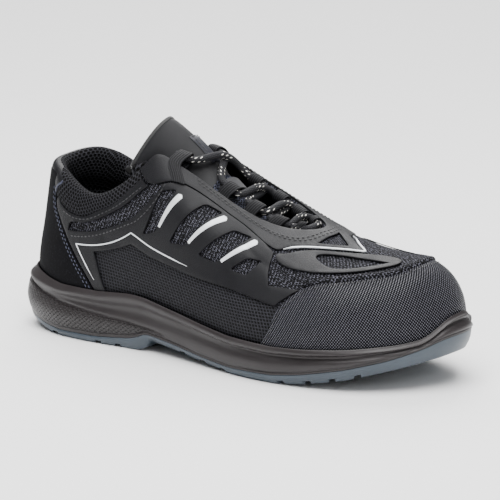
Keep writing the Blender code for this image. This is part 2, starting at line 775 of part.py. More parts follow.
def make_insole():
    turns = np.arange(40) * TURNS / 40
    foot = ring_spline(foot_ring(), turns)
    out = outward(foot)
    low = foot - out * INSOLE_INSET + np.array([0, 0, GAP])
    high = foot - out * INSOLE_INSET + np.array([0, 0, INSOLE_THICK])
    return ring_solid("insole", [high, low], (0.08, 0.08, 0.09))


def throat_frame(turn, side):
    """Where a strap leaves the throat edge, and the unit run of the edge towards the ankle."""
    turn = turn if side < 0 else TURNS - turn
    step = 0.05
    edge, before, after = upper_surface([turn, turn - step, turn + step], np.ones((3, 1)), STRAP_REST)[:, 0]
    run = after - before
    pace = np.linalg.norm(run) / (2 * step)
    return turn, edge, run / np.linalg.norm(run) * (1 if run[0] < 0 else -1), pace


def strap_width(number):
    return STRAP_WIDTH if number else FRONT_STRAP_WIDTH


def strap_reach(number):
    """How far the lace runs straight on each side of an eye's middle."""
    return strap_width(number) / 2 + LACE_STRAIGHT


def lace_eyes(side):
    """The eye of each strap on one side, from the toe up."""
    column = 2 if side < 0 else 3
    return [
        np.array([along(row[1]), side * row[column] * BALL_WIDTH, row[column + 2] * HEEL_HEIGHT])
        for row in LACE_LOOPS
    ]


def make_strap(name, side, number, eye):
    """A folded webbing strap: from its pad on the eyestay, round the lace and back below."""
    turn, edge, run, pace = throat_frame(LACE_LOOPS[number][0], side)
    across = eye - edge
    across -= run * across.dot(run)
    across /= np.linalg.norm(across)
    up = np.cross(run, across)
    up *= np.sign(up[2])
    radius = LACE / 2 + EYE_CLEAR + STRAP_THICK / 2
    tail = (eye - edge).dot(across) - STRAP_TAIL
    columns = []
    for step in (-0.5, 0, 0.5):
        place = turn + step * strap_width(number) / pace
        pad = upper_surface([place, place], [[1 - STRAP_PAD], [STRAP_EDGE]], STRAP_REST)[:, 0]
        shift = (pad[1] - edge).dot(run)
        centre = eye + run * shift
        column = [pad[0], pad[1]]
        for degrees in (100, 60, 20, -20, -60, -95):
            angle = math.radians(degrees)
            column.append(centre + radius * (math.cos(angle) * across + math.sin(angle) * up))
        column.append(centre - radius * up - tail * across)
        columns.append(column)
    middle = np.array(columns).transpose(1, 0, 2)
    normal = np.cross(np.gradient(middle, axis=0), np.gradient(middle, axis=1))
    normal /= np.linalg.norm(normal, axis=2)[:, :, None]
    normal *= np.sign(normal[0, 1, 2])
    half = normal * STRAP_THICK / 2
    return strip_solid(name, middle + half, middle - half, (0.02, 0.02, 0.02))


def lace_route():
    """Down from the lateral top strap, across the bar at the toe end and up to the medial top."""
    sides = {-1: lace_eyes(-1), 1: lace_eyes(1)}
    runs = {side: [throat_frame(row[0], side)[2] for row in LACE_LOOPS] for side in sides}
    top = len(LACE_LOOPS) - 1
    route = []

    def crossing(number, above):
        share, height = LACE_CROSSINGS[number]
        centre = (sides[-1][number][1] + sides[1][number][1]) / 2
        lift = (LACE + 2 * GAP) if above else 0
        return np.array([along(share), centre, height * HEEL_HEIGHT + lift])

    side = -1
    for number in range(top, -1, -1):
        eye, run = sides[side][number], runs[side][number] * strap_reach(number)
        route += [eye + run, eye, eye - run]
        if number:
            route.append(crossing(number - 1, number % 2 == 0))
            side = -side
    bar = (sides[-1][0] + sides[1][0]) / 2 - (runs[-1][0] + runs[1][0]) * strap_reach(0) / 2
    route.append(bar + np.array([BAR_BOW, 0, 0]))
    side = -side
    for number in range(top + 1):
        eye, run = sides[side][number], runs[side][number] * strap_reach(number)
        route += [eye - run, eye, eye + run]
        if number < top:
            route.append(crossing(number, number % 2 == 0))
            side = -side
    return route


def make_lace():
    """The lace as one tube that runs through every strap."""
    points = section_spline(np.array([lace_route()]), np.linspace(0, 1, LACE_POINTS)[None])[0]
    curve = bpy.data.curves.new("lace", "CURVE")
    curve.dimensions = "3D"
    curve.bevel_depth = LACE / 2
    curve.bevel_resolution = 2
    curve.use_fill_caps = True
    spline = curve.splines.new("POLY")
    spline.points.add(len(points) - 1)
    for point, place in zip(spline.points, points):
        point.co = (*place, 1)
    obj = bpy.data.objects.new("lace", curve)
    bpy.context.scene.collection.objects.link(obj)
    material = bpy.data.materials.new("lace")
    material.use_nodes = True
    shader = material.node_tree.nodes["Principled BSDF"]
    shader.inputs["Base Color"].default_value = (0.02, 0.02, 0.02, 1)
    shader.inputs["Roughness"].default_value = 0.8
    curve.materials.append(material)
    return obj


def groove_tool(number, share):
    """A zigzag bar across the tread that follows the toe spring, as deep as the groove."""
    heights = np.array(SOLE_RISE)
    reach = BALL_WIDTH * GROOVE_REACH
    rows = []
    for step, part in enumerate((-1, -0.5, 0, 0.5, 1)):
        middle = along(share) + GROOVE_ZIG * (1 if step % 2 else -1)
        row = []
        for x in (middle - GROOVE_WIDTH / 2, middle + GROOVE_WIDTH / 2):
            tread = np.interp((x + HEEL_BACK) / SOLE_LENGTH, heights[:, 0], heights[:, 5]) * HEEL_HEIGHT
            row += [(x, part * reach, -GROOVE_BELOW), (x, part * reach, tread + GROOVE_DEPTH)]
        rows.append([row[0], row[2], row[3], row[1]])
    tool = tube_solid(f"tread.groove{number}", np.array(rows), (0.02, 0.02, 0.02))
    tool.hide_render = True
    tool.display_type = "WIRE"
    return tool


def build():
    for obj in list(bpy.data.objects):
        bpy.data.objects.remove(obj)
    n, m = UPPER_GRID
    turns = np.arange(n) * TURNS / n
    rises = np.tile(np.linspace(0, 1, m), (n, 1))
    outer = upper_surface(turns, rises, UPPER_WALL)
    inner = upper_surface(turns, rises)
    closed_shell("upper", inner, outer, (0.03, 0.03, 0.03))
    floor, rim_in, rim_out, band, flare, joint, bed, tread = sole_loops()
    ring_solid("midsole", [floor, rim_in, rim_out, band, flare, joint, bed], (0.04, 0.04, 0.04))
    drop = np.array([0, 0, GAP])
    outsole = ring_solid("outsole", [bed - drop, joint - drop, tread], (0.2, 0.22, 0.25))
    for number, share in enumerate(GROOVES):
        modifier = outsole.modifiers.new("groove", "BOOLEAN")
        modifier.operation = "DIFFERENCE"
        modifier.solver = "EXACT"
        modifier.object = groove_tool(number, share)
    make_tongue()
    make_collar()
    make_insole()
    skin = make_skin()
    skin.hide_render = True
    skin.display_type = "WIRE"
    cut_overlay("toe_guard", skin, TOE_GUARD + mirrored(TOE_GUARD))
    back = tuple((-row[0],) + tuple(row[1:]) for row in reversed(HEEL_COUNTER))
    cut_overlay("heel_counter", skin, back + HEEL_COUNTER, folded=True)
    cut_overlay("eyestay", skin, EYESTAY + mirrored(EYESTAY))
    for side, flip in (("lateral", tuple), ("medial", mirrored)):
        windows = [flip(rows) for rows in (SIDE_MESH, COLLAR_MESH) + VENTS]
        cut_overlay(f"quarter_{side}", skin, flip(QUARTER), windows)
        cut_overlay(f"vamp_wing_{side}", skin, flip(WING), [flip(WING_MESH)])
    for side, word in ((-1, "lateral"), (1, "medial")):
        for number, eye in enumerate(lace_eyes(side)):
            make_strap(f"lace_strap_{word}_{number + 1}", side, number, eye)
    make_lace()


build()
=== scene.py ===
import math

import bmesh
import bpy
import numpy as np
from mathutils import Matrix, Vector
from mathutils.bvhtree import BVHTree
from mathutils.geometry import delaunay_2d_cdt


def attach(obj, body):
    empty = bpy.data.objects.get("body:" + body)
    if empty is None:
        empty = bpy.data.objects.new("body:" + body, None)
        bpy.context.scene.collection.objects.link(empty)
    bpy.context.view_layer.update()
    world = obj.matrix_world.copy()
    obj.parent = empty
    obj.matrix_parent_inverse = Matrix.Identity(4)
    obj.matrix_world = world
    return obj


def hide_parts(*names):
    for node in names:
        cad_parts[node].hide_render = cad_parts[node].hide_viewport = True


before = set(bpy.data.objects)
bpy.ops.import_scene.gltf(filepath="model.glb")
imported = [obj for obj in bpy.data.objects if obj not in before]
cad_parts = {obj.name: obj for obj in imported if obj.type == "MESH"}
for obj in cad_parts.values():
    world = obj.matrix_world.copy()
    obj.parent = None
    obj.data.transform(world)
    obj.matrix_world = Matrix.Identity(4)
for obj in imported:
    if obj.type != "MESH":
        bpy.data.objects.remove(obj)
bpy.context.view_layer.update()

bpy.ops.object.select_all(action="DESELECT")

# Knitted upper: one layer of coarse polyester knit over a spacer-mesh lining, pulled over a
# men's last. A turn goes once round the foot line (0 at the heel back, then lateral, toe,
# medial), and a rise goes from the foot line up to the collar and throat edge.
SOLE_LENGTH = 0.306
BALL_WIDTH = 0.100
HEEL_HEIGHT = 0.100
HEEL_BACK = 0.064
UPPER_WALL = 0.0022
FOOT_LINE = (
    # place          along  lateral  medial  floor
    ("heel_back",    0.048, 0.000,  0.000,  0.27),
    ("heel_corner",  0.070, 0.195,  0.195,  0.27),
    ("heel_side",    0.165, 0.320,  0.315,  0.26),
    ("rear_waist",   0.290, 0.345,  0.305,  0.24),
    ("waist",        0.412, 0.370,  0.300,  0.21),
    ("instep",       0.530, 0.425,  0.360,  0.17),
    ("ball",         0.650, 0.475,  0.440,  0.145),
    ("tread_front",  0.770, 0.450,  0.455,  0.15),
    ("toe_corner",   0.885, 0.290,  0.365,  0.19),
    ("toe_tip",      0.957, -0.080, 0.080,  0.24),
)
TOP_LINE = (
    # place          along  lateral medial  lateral height, medial height
    ("heel_back",    0.078, 0.000,  0.000,  1.000, 1.000),
    ("heel_corner",  0.106, 0.190,  0.200,  0.980, 1.020),
    ("heel_side",    0.172, 0.280,  0.280,  0.895, 0.940),
    ("rear_waist",   0.235, 0.290,  0.290,  0.845, 0.850),
    ("waist",        0.305, 0.280,  0.270,  0.950, 0.930),
    ("instep",       0.375, 0.240,  0.230,  1.095, 1.080),
    ("ball",         0.465, 0.190,  0.205,  0.990, 1.010),
    ("tread_front",  0.565, 0.175,  0.210,  0.840, 0.875),
    ("toe_corner",   0.640, 0.110,  0.170,  0.765, 0.780),
    ("toe_tip",      0.682, -0.030, 0.030,  0.755, 0.755),
)
WALL = (
    # place          low: in out   up    mid: in  out   up    high: in  out   up
    ("heel_back",    0.00, 0.000,  0.20,  0.25, -0.015, 0.50,  0.65, -0.012, 0.80),
    ("heel_corner",  0.00, -0.002, 0.20,  0.25, -0.012, 0.50,  0.65, -0.008, 0.80),
    ("heel_side",    0.00, 0.008,  0.22,  0.25, 0.006, 0.50,  0.65, 0.008, 0.80),
    ("rear_waist",   0.00, 0.025,  0.22,  0.25, 0.030, 0.50,  0.65, 0.024, 0.80),
    ("waist",        0.00, 0.035,  0.20,  0.22, 0.050, 0.46,  0.62, 0.040, 0.78),
    ("instep",       0.00, 0.035,  0.18,  0.20, 0.050, 0.40,  0.60, 0.055, 0.76),
    ("ball",         0.00, 0.035,  0.18,  0.18, 0.040, 0.38,  0.56, 0.050, 0.72),
    ("tread_front",  0.00, 0.030,  0.22,  0.16, 0.025, 0.47,  0.58, 0.020, 0.76),
    ("toe_corner",   0.00, 0.022,  0.28,  0.12, 0.015, 0.58,  0.52, 0.000, 0.79),
    ("toe_tip",      0.00, 0.015,  0.30,  0.08, 0.012, 0.63,  0.48, 0.000, 0.835),
)
TURNS = 2 * (len(FOOT_LINE) - 1)

# Soft flex folds: from turn, rise to turn, rise, half width and depth in mm, troughs negative.
FOLDS = (
    (6.55, 0.62, 7.10, 0.40, 3.5, -0.45),
    (6.85, 0.70, 7.45, 0.47, 3.0, 0.35),
    (7.55, 0.50, 8.60, 0.44, 2.4, 0.55),
    (9.45, 0.46, 10.50, 0.50, 2.4, 0.50),
    (10.60, 0.42, 11.20, 0.62, 3.5, -0.45),
    (3.10, 0.62, 4.30, 0.44, 5.0, -0.35),
    (13.70, 0.44, 14.90, 0.60, 5.0, -0.40),
    (2.30, 0.70, 3.60, 0.80, 3.0, 0.45),
    (14.40, 0.80, 15.70, 0.70, 3.0, 0.45),
    (4.30, 0.30, 6.10, 0.22, 6.0, 0.60),
    (11.90, 0.22, 13.70, 0.30, 6.0, 0.60),
)
# About how many mm a whole turn and a whole rise span.
SPAN = np.array([36.0, 85.0])


def unit(vectors):
    return vectors / np.linalg.norm(vectors, axis=-1)[..., None]


def run_along(path):
    """How far each point of a path lies from its start."""
    return np.concatenate([[0], np.cumsum(np.linalg.norm(np.diff(path, axis=0), axis=1))])


def along(share):
    return share * SOLE_LENGTH - HEEL_BACK


def both_sides(lateral, medial):
    """One closed ring from a lateral and a medial half, each from heel to toe."""
    return np.array(list(lateral) + list(medial)[-2:0:-1], float)


def edge_ring(table, lift):
    def side(sign, column, height):
        return [(along(row[1]), sign * row[column] * BALL_WIDTH, row[height] * HEEL_HEIGHT) for row in table]

    return both_sides(side(-1, 2, 4), side(1, 3, 4 + lift))


def outward(ring):
    """Unit plan normals of a closed ring, pointing away from the foot."""
    run = np.roll(ring, -1, 0) - np.roll(ring, 1, 0)
    return unit(np.stack([run[:, 1], -run[:, 0], np.zeros(len(ring))], 1))


def ring_spline(values, turns):
    """A smooth closed curve through values, one at each whole turn, read at turns."""
    count = len(values)
    matrix = 4 * np.eye(count) + np.roll(np.eye(count), 1, 0) + np.roll(np.eye(count), -1, 0)
    bend = np.linalg.solve(matrix, 6 * (np.roll(values, -1, 0) - 2 * values + np.roll(values, 1, 0)))
    turns = np.asarray(turns, float) % count
    a = np.floor(turns).astype(int) % count
    b = (a + 1) % count
    t = (turns - np.floor(turns))[:, None]
    s = 1 - t
    return s * values[a] + t * values[b] + ((s**3 - s) * bend[a] + (t**3 - t) * bend[b]) / 6


def section_spline(knots, shares):
    """A smooth open curve through each section's knots, read at shares of its length."""
    steps = np.linalg.norm(np.diff(knots, axis=1), axis=2)
    place = np.concatenate([np.zeros((len(knots), 1)), np.cumsum(steps, 1)], 1)
    count = knots.shape[1]
    matrix = np.zeros((len(knots), count, count))
    right = np.zeros(knots.shape)
    matrix[:, 0, 0] = matrix[:, -1, -1] = 1
    for i in range(1, count - 1):
        h, k = steps[:, i - 1], steps[:, i]
        matrix[:, i, i - 1], matrix[:, i, i], matrix[:, i, i + 1] = h, 2 * (h + k), k
        rise = (knots[:, i + 1] - knots[:, i]) / k[:, None]
        right[:, i] = 6 * (rise - (knots[:, i] - knots[:, i - 1]) / h[:, None])
    bend = np.linalg.solve(matrix, right)
    at = shares * place[:, -1:]
    rows = np.arange(len(knots))[:, None]
    i = np.clip((at[:, :, None] >= place[:, None, 1:-1]).sum(2), 0, count - 2)
    h = steps[rows, i]
    t = (at - place[rows, i]) / h
    s, t, h = (1 - t)[:, :, None], t[:, :, None], h[:, :, None]
    curve = s * knots[rows, i] + t * knots[rows, i + 1]
    return curve + h**2 * ((s**3 - s) * bend[rows, i] + (t**3 - t) * bend[rows, i + 1]) / 6


def last_knots():
    foot, top = edge_ring(FOOT_LINE, 0), edge_ring(TOP_LINE, 1)
    out = outward(foot)
    wall = both_sides([row[1:] for row in WALL], [row[1:] for row in WALL])
    rise = (top - foot)[:, 2]
    rings = [foot]
    for inward, bulge, up in ((0, 1, 2), (3, 4, 5), (6, 7, 8)):
        ring = foot + wall[:, inward][:, None] * (top - foot) + out * wall[:, bulge][:, None] * BALL_WIDTH
        ring[:, 2] = foot[:, 2] + wall[:, up] * rise
        rings.append(ring)
    return np.stack(rings + [top], 1)


KNOTS = last_knots()


def fold_height(turns, rises):
    """How far the soft folds raise or sink the surface at turns (n) and rises (n, m)."""
    place = np.stack([np.broadcast_to(turns[:, None] % TURNS, rises.shape), rises], -1) * SPAN
    height = np.zeros(rises.shape)
    for t1, r1, t2, r2, width, depth in FOLDS:
        a, b = np.array([t1, r1]) * SPAN, np.array([t2, r2]) * SPAN
        share = np.clip(((place - a) @ (b - a)) / ((b - a) @ (b - a)), 0, 1)
        gap = np.linalg.norm(place - a - share[..., None] * (b - a), axis=-1)
        height += depth / 1000 * np.exp(-((gap / width) ** 2))
    return height


def last_surface(turns, rises, offset=0.0):
    """Points of the shoe's form at turns (n) and rises (n, m), moved outwards by offset."""
    turns, rises = np.asarray(turns, float), np.asarray(rises, float)
    step = 1e-3

    def at(t, r):
        knots = np.stack([ring_spline(KNOTS[:, k], t) for k in range(KNOTS.shape[1])], 1)
        return section_spline(knots, r)

    round_it = at(turns + step, rises) - at(turns - step, rises)
    up_it = at(turns, rises + step) - at(turns, rises - step)
    normal = unit(np.cross(round_it, up_it))
    return at(turns, rises) + (np.asarray(offset) + fold_height(turns, rises))[..., None] * normal


GAUGE_TURNS = np.linspace(0, TURNS, 181)
gauge = last_surface(GAUGE_TURNS, np.tile(np.linspace(0, 1, 21), (181, 1)))
GAUGE_RUN = run_along(gauge[:, 7])
GAUGE_TALL = np.linalg.norm(np.diff(gauge, axis=1), axis=2).sum(1)


def cloth_uv(turns, rises):
    """Where a point of the surface lies on flat cloth, in metres."""
    turns = np.asarray(turns, float)
    run = np.interp(turns % TURNS, GAUGE_TURNS, GAUGE_RUN) + np.floor(turns / TURNS) * GAUGE_RUN[-1]
    return np.stack([run, rises * np.interp(turns % TURNS, GAUGE_TURNS, GAUGE_TALL)], -1)


def linear(colour):
    parts = [int(colour[i:i + 2], 16) / 255 for i in (1, 3, 5)]
    return (*[c / 12.92 if c <= 0.04045 else ((c + 0.055) / 1.055) ** 2.4 for c in parts], 1.0)


def wire(tree, node, sockets):
    """Sets each socket to its value, or links it to the output given."""
    for socket, value in sockets.items():
        if isinstance(value, bpy.types.NodeSocket):
            tree.links.new(value, node.inputs[socket])
        else:
            node.inputs[socket].default_value = value


def new_material(name, colour, roughness, sockets=None):
    material = bpy.data.materials.new(name)
    material.use_nodes = True
    tree = material.node_tree
    shader = tree.nodes["Principled BSDF"]
    wire(tree, shader, {"Base Color": linear(colour), "Roughness": roughness, **(sockets or {})})
    return material, tree, shader


def add_node(tree, kind, sockets=None, output=0, **settings):
    """Adds a node with its settings, values and links, and gives one of its outputs."""
    node = tree.nodes.new("ShaderNode" + kind)
    for name, value in settings.items():
        setattr(node, name, value)
    wire(tree, node, sockets or {})
    return node.outputs[output]


def cell_pattern(tree, coords, across, up):
    """Distance from the nearest point of a staggered lattice, in units of across."""
    found = []
    for shift in (0.0, 0.5):
        scales = {0: coords, 1: (1 / across, 1 / up, 0), 2: (shift, shift, 0)}
        place = add_node(tree, "VectorMath", scales, operation="MULTIPLY_ADD")
        place = add_node(tree, "VectorMath", {0: place}, operation="FRACTION")
        place = add_node(tree, "VectorMath", {0: place, 1: (0.5, 0.5, 0)}, operation="SUBTRACT")
        place = add_node(tree, "VectorMath", {0: place, 1: (1, up / across, 0)}, operation="MULTIPLY")
        found.append(add_node(tree, "VectorMath", {0: place}, "Value", operation="LENGTH"))
    return add_node(tree, "Math", {0: found[0], 1: found[1]}, operation="MINIMUM")


def open_fabric(name, colour, roughness, specular, pitch, rim, hole, yarns, fleck, bump, wander=None):
    """Yarn round open cells. A hole's rim is in shares of its pitch, the fleck is its scale and
    edges, the bump its depth and strength, and wander how far the cells stray."""
    material, tree, shader = new_material(name, colour, roughness, {"Specular IOR Level": specular})
    cloth = add_node(tree, "UVMap", uv_map="cloth")
    bent = cloth
    if wander:
        stray = add_node(tree, "TexNoise", {"Vector": cloth, "Scale": 420.0, "Detail": 1.0}, "Color")
        bent = {0: stray, 1: (wander, wander, 0), 2: cloth}
        bent = add_node(tree, "VectorMath", bent, operation="MULTIPLY_ADD")
    yarn = {"Value": cell_pattern(tree, bent, *pitch), "From Min": rim[0], "From Max": rim[1]}
    yarn = add_node(tree, "MapRange", yarn, interpolation_type="SMOOTHSTEP")
    tone = add_node(tree, "TexNoise", {"Vector": cloth, "Scale": fleck[0], "Detail": 2.0})
    if len(fleck) > 1:
        tone = {"Value": tone, "From Min": fleck[1], "From Max": fleck[2]}
        tone = add_node(tree, "MapRange", tone, interpolation_type="SMOOTHSTEP")
    tone = {"Factor": tone, 6: linear(yarns[0]), 7: linear(yarns[1])}
    # The holes take the hole colour, near-black: partly what lies behind them and partly painted shade in the
    # openings.
    tone = {"Factor": yarn, 6: linear(hole), 7: add_node(tree, "Mix", tone, 2, data_type="RGBA")}
    relief = add_node(tree, "Bump", {"Height": yarn, "Distance": bump[0], "Strength": bump[1]})
    wire(tree, shader, {"Base Color": add_node(tree, "Mix", tone, 2, data_type="RGBA"), "Normal": relief})
    return material


# Polyester knit: matt yarn round open cells 2.1 mm apart, drawn a little coarser than real.
# Its holes are painted near-black: partly the black lining behind and partly painted shade.
knit = open_fabric("polyester_knit", "#19191c", 0.8, 0.12, pitch=(0.0021, 0.0028), rim=(0.2, 0.38),
                   hole="#020203", yarns=("#141416", "#5c5c66"), fleck=(800.0, 0.45, 0.62),
                   bump=(0.0010, 1.0), wander=0.0008)

# Spacer mesh: black honeycomb 2.7 mm across with deep round holes, which looks soft and dull.
# Its deep holes are painted near-black, painted shade in the openings.
spacer = open_fabric("spacer_mesh", "#121214", 0.85, 0.1, pitch=(0.0027, 0.0041), rim=(0.22, 0.44),
                     hole="#020202", yarns=("#121214", "#38383d"), fleck=(700.0,), bump=(0.0012, 1.0))


def new_mesh(name, points, faces, materials, uv=None, wrap=None):
    """An object from points and faces. Its cloth map takes one place for each point, and
    wrap is the length after which the map starts again."""
    mesh = bpy.data.meshes.new(name)
    mesh.from_pydata([tuple(map(float, p)) for p in points], [], [tuple(map(int, f)) for f in faces])
    mesh.validate()
    for material in materials:
        mesh.materials.append(material)
    if uv is not None:
        layer = mesh.uv_layers.new(name="cloth")
        corner = np.empty(len(mesh.loops), int)
        mesh.loops.foreach_get("vertex_index", corner)
        flat = np.asarray(uv, float)[corner]
        if wrap:
            start = np.array([face.loop_start for face in mesh.polygons])
            least = np.minimum.reduceat(flat[:, 0], start)
            most = np.maximum.reduceat(flat[:, 0], start)
            sizes = np.diff(np.append(start, len(flat)))
            torn = np.repeat(most - least > wrap / 2, sizes)
            flat[torn & (flat[:, 0] < wrap / 2), 0] += wrap
        layer.data.foreach_set("uv", flat.ravel())
    obj = bpy.data.objects.new(name, mesh)
    bpy.context.scene.collection.objects.link(obj)
    return obj


def finish_piece(obj, slot, *nodes, angle=35):
    """Applies the modifiers, shades the mesh and hands the piece to the frame."""
    bpy.ops.object.select_all(action="DESELECT")
    obj.select_set(True)
    bpy.context.view_layer.objects.active = obj
    for modifier in list(obj.modifiers):
        bpy.ops.object.modifier_apply(modifier=modifier.name)
    bpy.ops.object.shade_smooth_by_angle(angle=math.radians(angle))
    obj.select_set(False)
    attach(obj, "root")
    if nodes:
        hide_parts(*nodes)
    return obj


def shell_faces(n, m):
    """Faces between n lines of m points that run once round the shoe."""
    return [(i * m + k, (i + 1) % n * m + k, (i + 1) % n * m + k + 1, i * m + k + 1)
            for i in range(n) for k in range(m - 1)]


n, m = 300, 44
turns = np.arange(n) * TURNS / n
rises = np.tile(np.linspace(0, 0.995, m), (n, 1))
points = last_surface(turns, rises, 0.0).reshape(-1, 3)
flat = cloth_uv(np.repeat(turns, m), rises.ravel())
upper = new_mesh("upper_knit", points, shell_faces(n, m), [knit, spacer], flat, wrap=GAUGE_RUN[-1])
wall = upper.modifiers.new("wall", "SOLIDIFY")
wall.thickness = UPPER_WALL
wall.offset = 1
wall.material_offset = 1
wall.material_offset_rim = 0
finish_piece(upper, "upper", "upper")

# Midsole: one piece of dual-density polyurethane, injected straight onto the upper. Its rim
# laps up the upper all round, and below a smooth band the heel flares out with a knurled grip.
SOLE_OUT = (
    # place          band   flare  edge   tread
    ("heel_back",    0.098, 0.110, 0.080, 0.030),
    ("heel_corner",  0.095, 0.112, 0.090, 0.050),
    ("heel_side",    0.060, 0.088, 0.085, 0.075),
    ("rear_waist",   0.055, 0.075, 0.070, 0.060),
    ("waist",        0.050, 0.055, 0.050, 0.030),
    ("instep",       0.050, 0.055, 0.048, 0.028),
    ("ball",         0.055, 0.060, 0.055, 0.040),
    ("tread_front",  0.055, 0.062, 0.058, 0.040),
    ("toe_corner",   0.065, 0.080, 0.075, 0.050),
    ("toe_tip",      0.070, 0.088, 0.085, 0.055),
)
SOLE_RISE = (
    # along  rim    band   flare  joint  tread
    (0.00,   0.375, 0.290, 0.190, 0.100, 0.045),
    (0.06,   0.365, 0.280, 0.190, 0.085, 0.022),
    (0.12,   0.330, 0.250, 0.185, 0.055, 0.004),
    (0.16,   0.312, 0.240, 0.180, 0.042, 0.000),
    (0.26,   0.315, 0.240, 0.170, 0.045, 0.000),
    (0.34,   0.337, 0.250, 0.165, 0.070, 0.000),
    (0.362,  0.337, 0.250, 0.165, 0.090, 0.005),
    (0.378,  0.335, 0.250, 0.165, 0.112, 0.030),
    (0.386,  0.333, 0.248, 0.165, 0.112, 0.072),
    (0.44,   0.303, 0.225, 0.160, 0.094, 0.050),
    (0.52,   0.262, 0.200, 0.140, 0.062, 0.022),
    (0.60,   0.228, 0.175, 0.120, 0.044, 0.000),
    (0.70,   0.217, 0.170, 0.120, 0.052, 0.000),
    (0.76,   0.224, 0.180, 0.140, 0.078, 0.018),
    (0.84,   0.243, 0.205, 0.175, 0.130, 0.065),
    (0.91,   0.270, 0.240, 0.215, 0.190, 0.125),
    (0.938,  0.292, 0.265, 0.240, 0.225, 0.150),
    (0.952,  0.350, 0.300, 0.266, 0.245, 0.165),
    (0.964,  0.415, 0.355, 0.300, 0.268, 0.175),
    (0.976,  0.440, 0.385, 0.330, 0.292, 0.190),
    (1.00,   0.450, 0.400, 0.350, 0.315, 0.215),
)
# The lower edge of the smooth heel band, along and height, and how deep its groove is in mm.
BAND_EDGE = (
    (0.00, 0.300, 1.1), (0.05, 0.285, 1.1), (0.10, 0.240, 1.1), (0.16, 0.205, 1.1), (0.26, 0.180, 1.0),
    (0.34, 0.165, 0.9), (0.40, 0.145, 0.5), (0.46, 0.120, 0.0), (1.00, 0.120, 0.0),
)
SOLE_CORE = 0.0055
SOLE_CLEAR = 0.001
GAP = 0.0003
RIM_SEAT = 0.0040
RIM_DEEP = 0.0040
RIM_TUCK = 0.0012
# The rim's crest and shoulder and the soft roll under them: how far out, and up or down.
CREST_OUT = 0.0007
CREST_UP = 0.0003
SHOULDER_OUT = 0.0016
SHOULDER_DOWN = 0.0009
ROLL_OUT = 0.0013
BAND_DROP = 0.0016
FLARE_DROP = 0.0018
BAND_GROOVE = 0.0011
# Two moulded lines, below the rim and above the joint: depth, how far off, and half width.
RIM_LINE = (0.0005, 0.0052, 0.0009)
JOINT_LINE = (0.0005, 0.0014, 0.0005)
KNURL_PITCH = (0.0036, 0.0026)
SOLE_ROWS = 56
n = 480
SOLE_TURNS = np.arange(n) * TURNS / n
foot = ring_spline(edge_ring(FOOT_LINE, 0), SOLE_TURNS)
out = outward(foot)
sole_reach = ring_spline(both_sides([row[1:] for row in SOLE_OUT], [row[1:] for row in SOLE_OUT]), SOLE_TURNS)


def sole_height(x, column, blur=0.006):
    """Height of one level of the sole at x, with the table's corners eased over blur."""
    heights = np.array(SOLE_RISE)
    share = (x + HEEL_BACK) / SOLE_LENGTH
    total = 0
    for step, weight in ((-1, 0.25), (-0.5, 0.25), (0.5, 0.25), (1, 0.25)):
        total = total + weight * np.interp(share + step * blur, heights[:, 0], heights[:, column])
    return total * HEEL_HEIGHT


def level(column, reach, blur=0.006):
    loop = foot + out * reach[:, None]
    loop[:, 2] = sole_height(loop[:, 0], column, blur)
    return loop


def wall_at_height(turns, heights, offset):
    """The point of the upper's outside at each turn that stands at the given height."""
    points = last_surface(turns, np.tile(np.linspace(0, 0.5, 60), (len(turns), 1)), offset)
    found = []
    for row, height in zip(points, heights):
        found.append([np.interp(height, row[:, 2], row[:, k]) for k in range(3)])
    return np.array(found)


def ring_body(name, loops, materials, across=10, uv_rows=None, wrap=None):
    """A solid between loops that run once round the shoe, closed above and below by strips."""
    n = len(loops[0])
    vertices = [tuple(v) for loop in loops for v in loop]
    uv = [tuple(v) for row in uv_rows for v in row] if uv_rows is not None else None
    faces = []
    for k in range(len(loops) - 1):
        for i in range(n):
            j = (i + 1) % n
            faces.append((k * n + i, (k + 1) * n + i, (k + 1) * n + j, k * n + j))

    def lid(k, upward):
        rows = [[k * n] * (across + 1)]
        for i in range(1, n // 2):
            a, b = k * n + i, k * n + n - i
            row = [a]
            for step in range(1, across):
                share = step / across
                vertices.append(tuple((1 - share) * np.array(vertices[a]) + share * np.array(vertices[b])))
                if uv is not None:
                    uv.append(tuple(np.array(vertices[-1][:2])))
                row.append(len(vertices) - 1)
            rows.append(row + [b])
        rows.append([k * n + n // 2] * (across + 1))
        for one, two in zip(rows, rows[1:]):
            for step in range(across):
                face = []
                for v in (one[step], two[step], two[step + 1], one[step + 1]):
                    if v not in face:
                        face.append(v)
                faces.append(face if upward else face[::-1])

    lid(0, True)
    lid(len(loops) - 1, False)
    return new_mesh(name, vertices, faces, materials, uv, wrap)


rim_height = level(1, np.full(n, UPPER_WALL + GAP))[:, 2]
seat = wall_at_height(SOLE_TURNS, rim_height, RIM_SEAT)
seat_low = wall_at_height(SOLE_TURNS, rim_height - RIM_DEEP, RIM_SEAT)
crest = seat + out * CREST_OUT + [0, 0, CREST_UP]
shoulder = seat + out * SHOULDER_OUT - [0, 0, SHOULDER_DOWN]
band = level(2, sole_reach[:, 0] * BALL_WIDTH)
band[:, 2] = np.minimum(band[:, 2], shoulder[:, 2] - BAND_DROP)
roll = (shoulder + band) / 2 + out * ROLL_OUT
flare = level(3, sole_reach[:, 1] * BALL_WIDTH)
flare[:, 2] = np.minimum(flare[:, 2], band[:, 2] - FLARE_DROP)
joint = level(4, sole_reach[:, 2] * BALL_WIDTH)
knots = np.stack([seat - [0, 0, RIM_TUCK], crest, shoulder, roll, band, flare, joint], 1)
rows = section_spline(knots, np.tile(np.linspace(0, 1, SOLE_ROWS), (n, 1)))
row_number = np.arange(SOLE_ROWS)
edge = np.array(BAND_EDGE)
share = (rows[:, :, 0] + HEEL_BACK) / SOLE_LENGTH
below_edge = np.interp(share, edge[:, 0], edge[:, 1]) * HEEL_HEIGHT - rows[:, :, 2]
below_rim = rim_height[:, None] - rows[:, :, 2]
above_joint = rows[:, :, 2] - joint[:, 2][:, None]
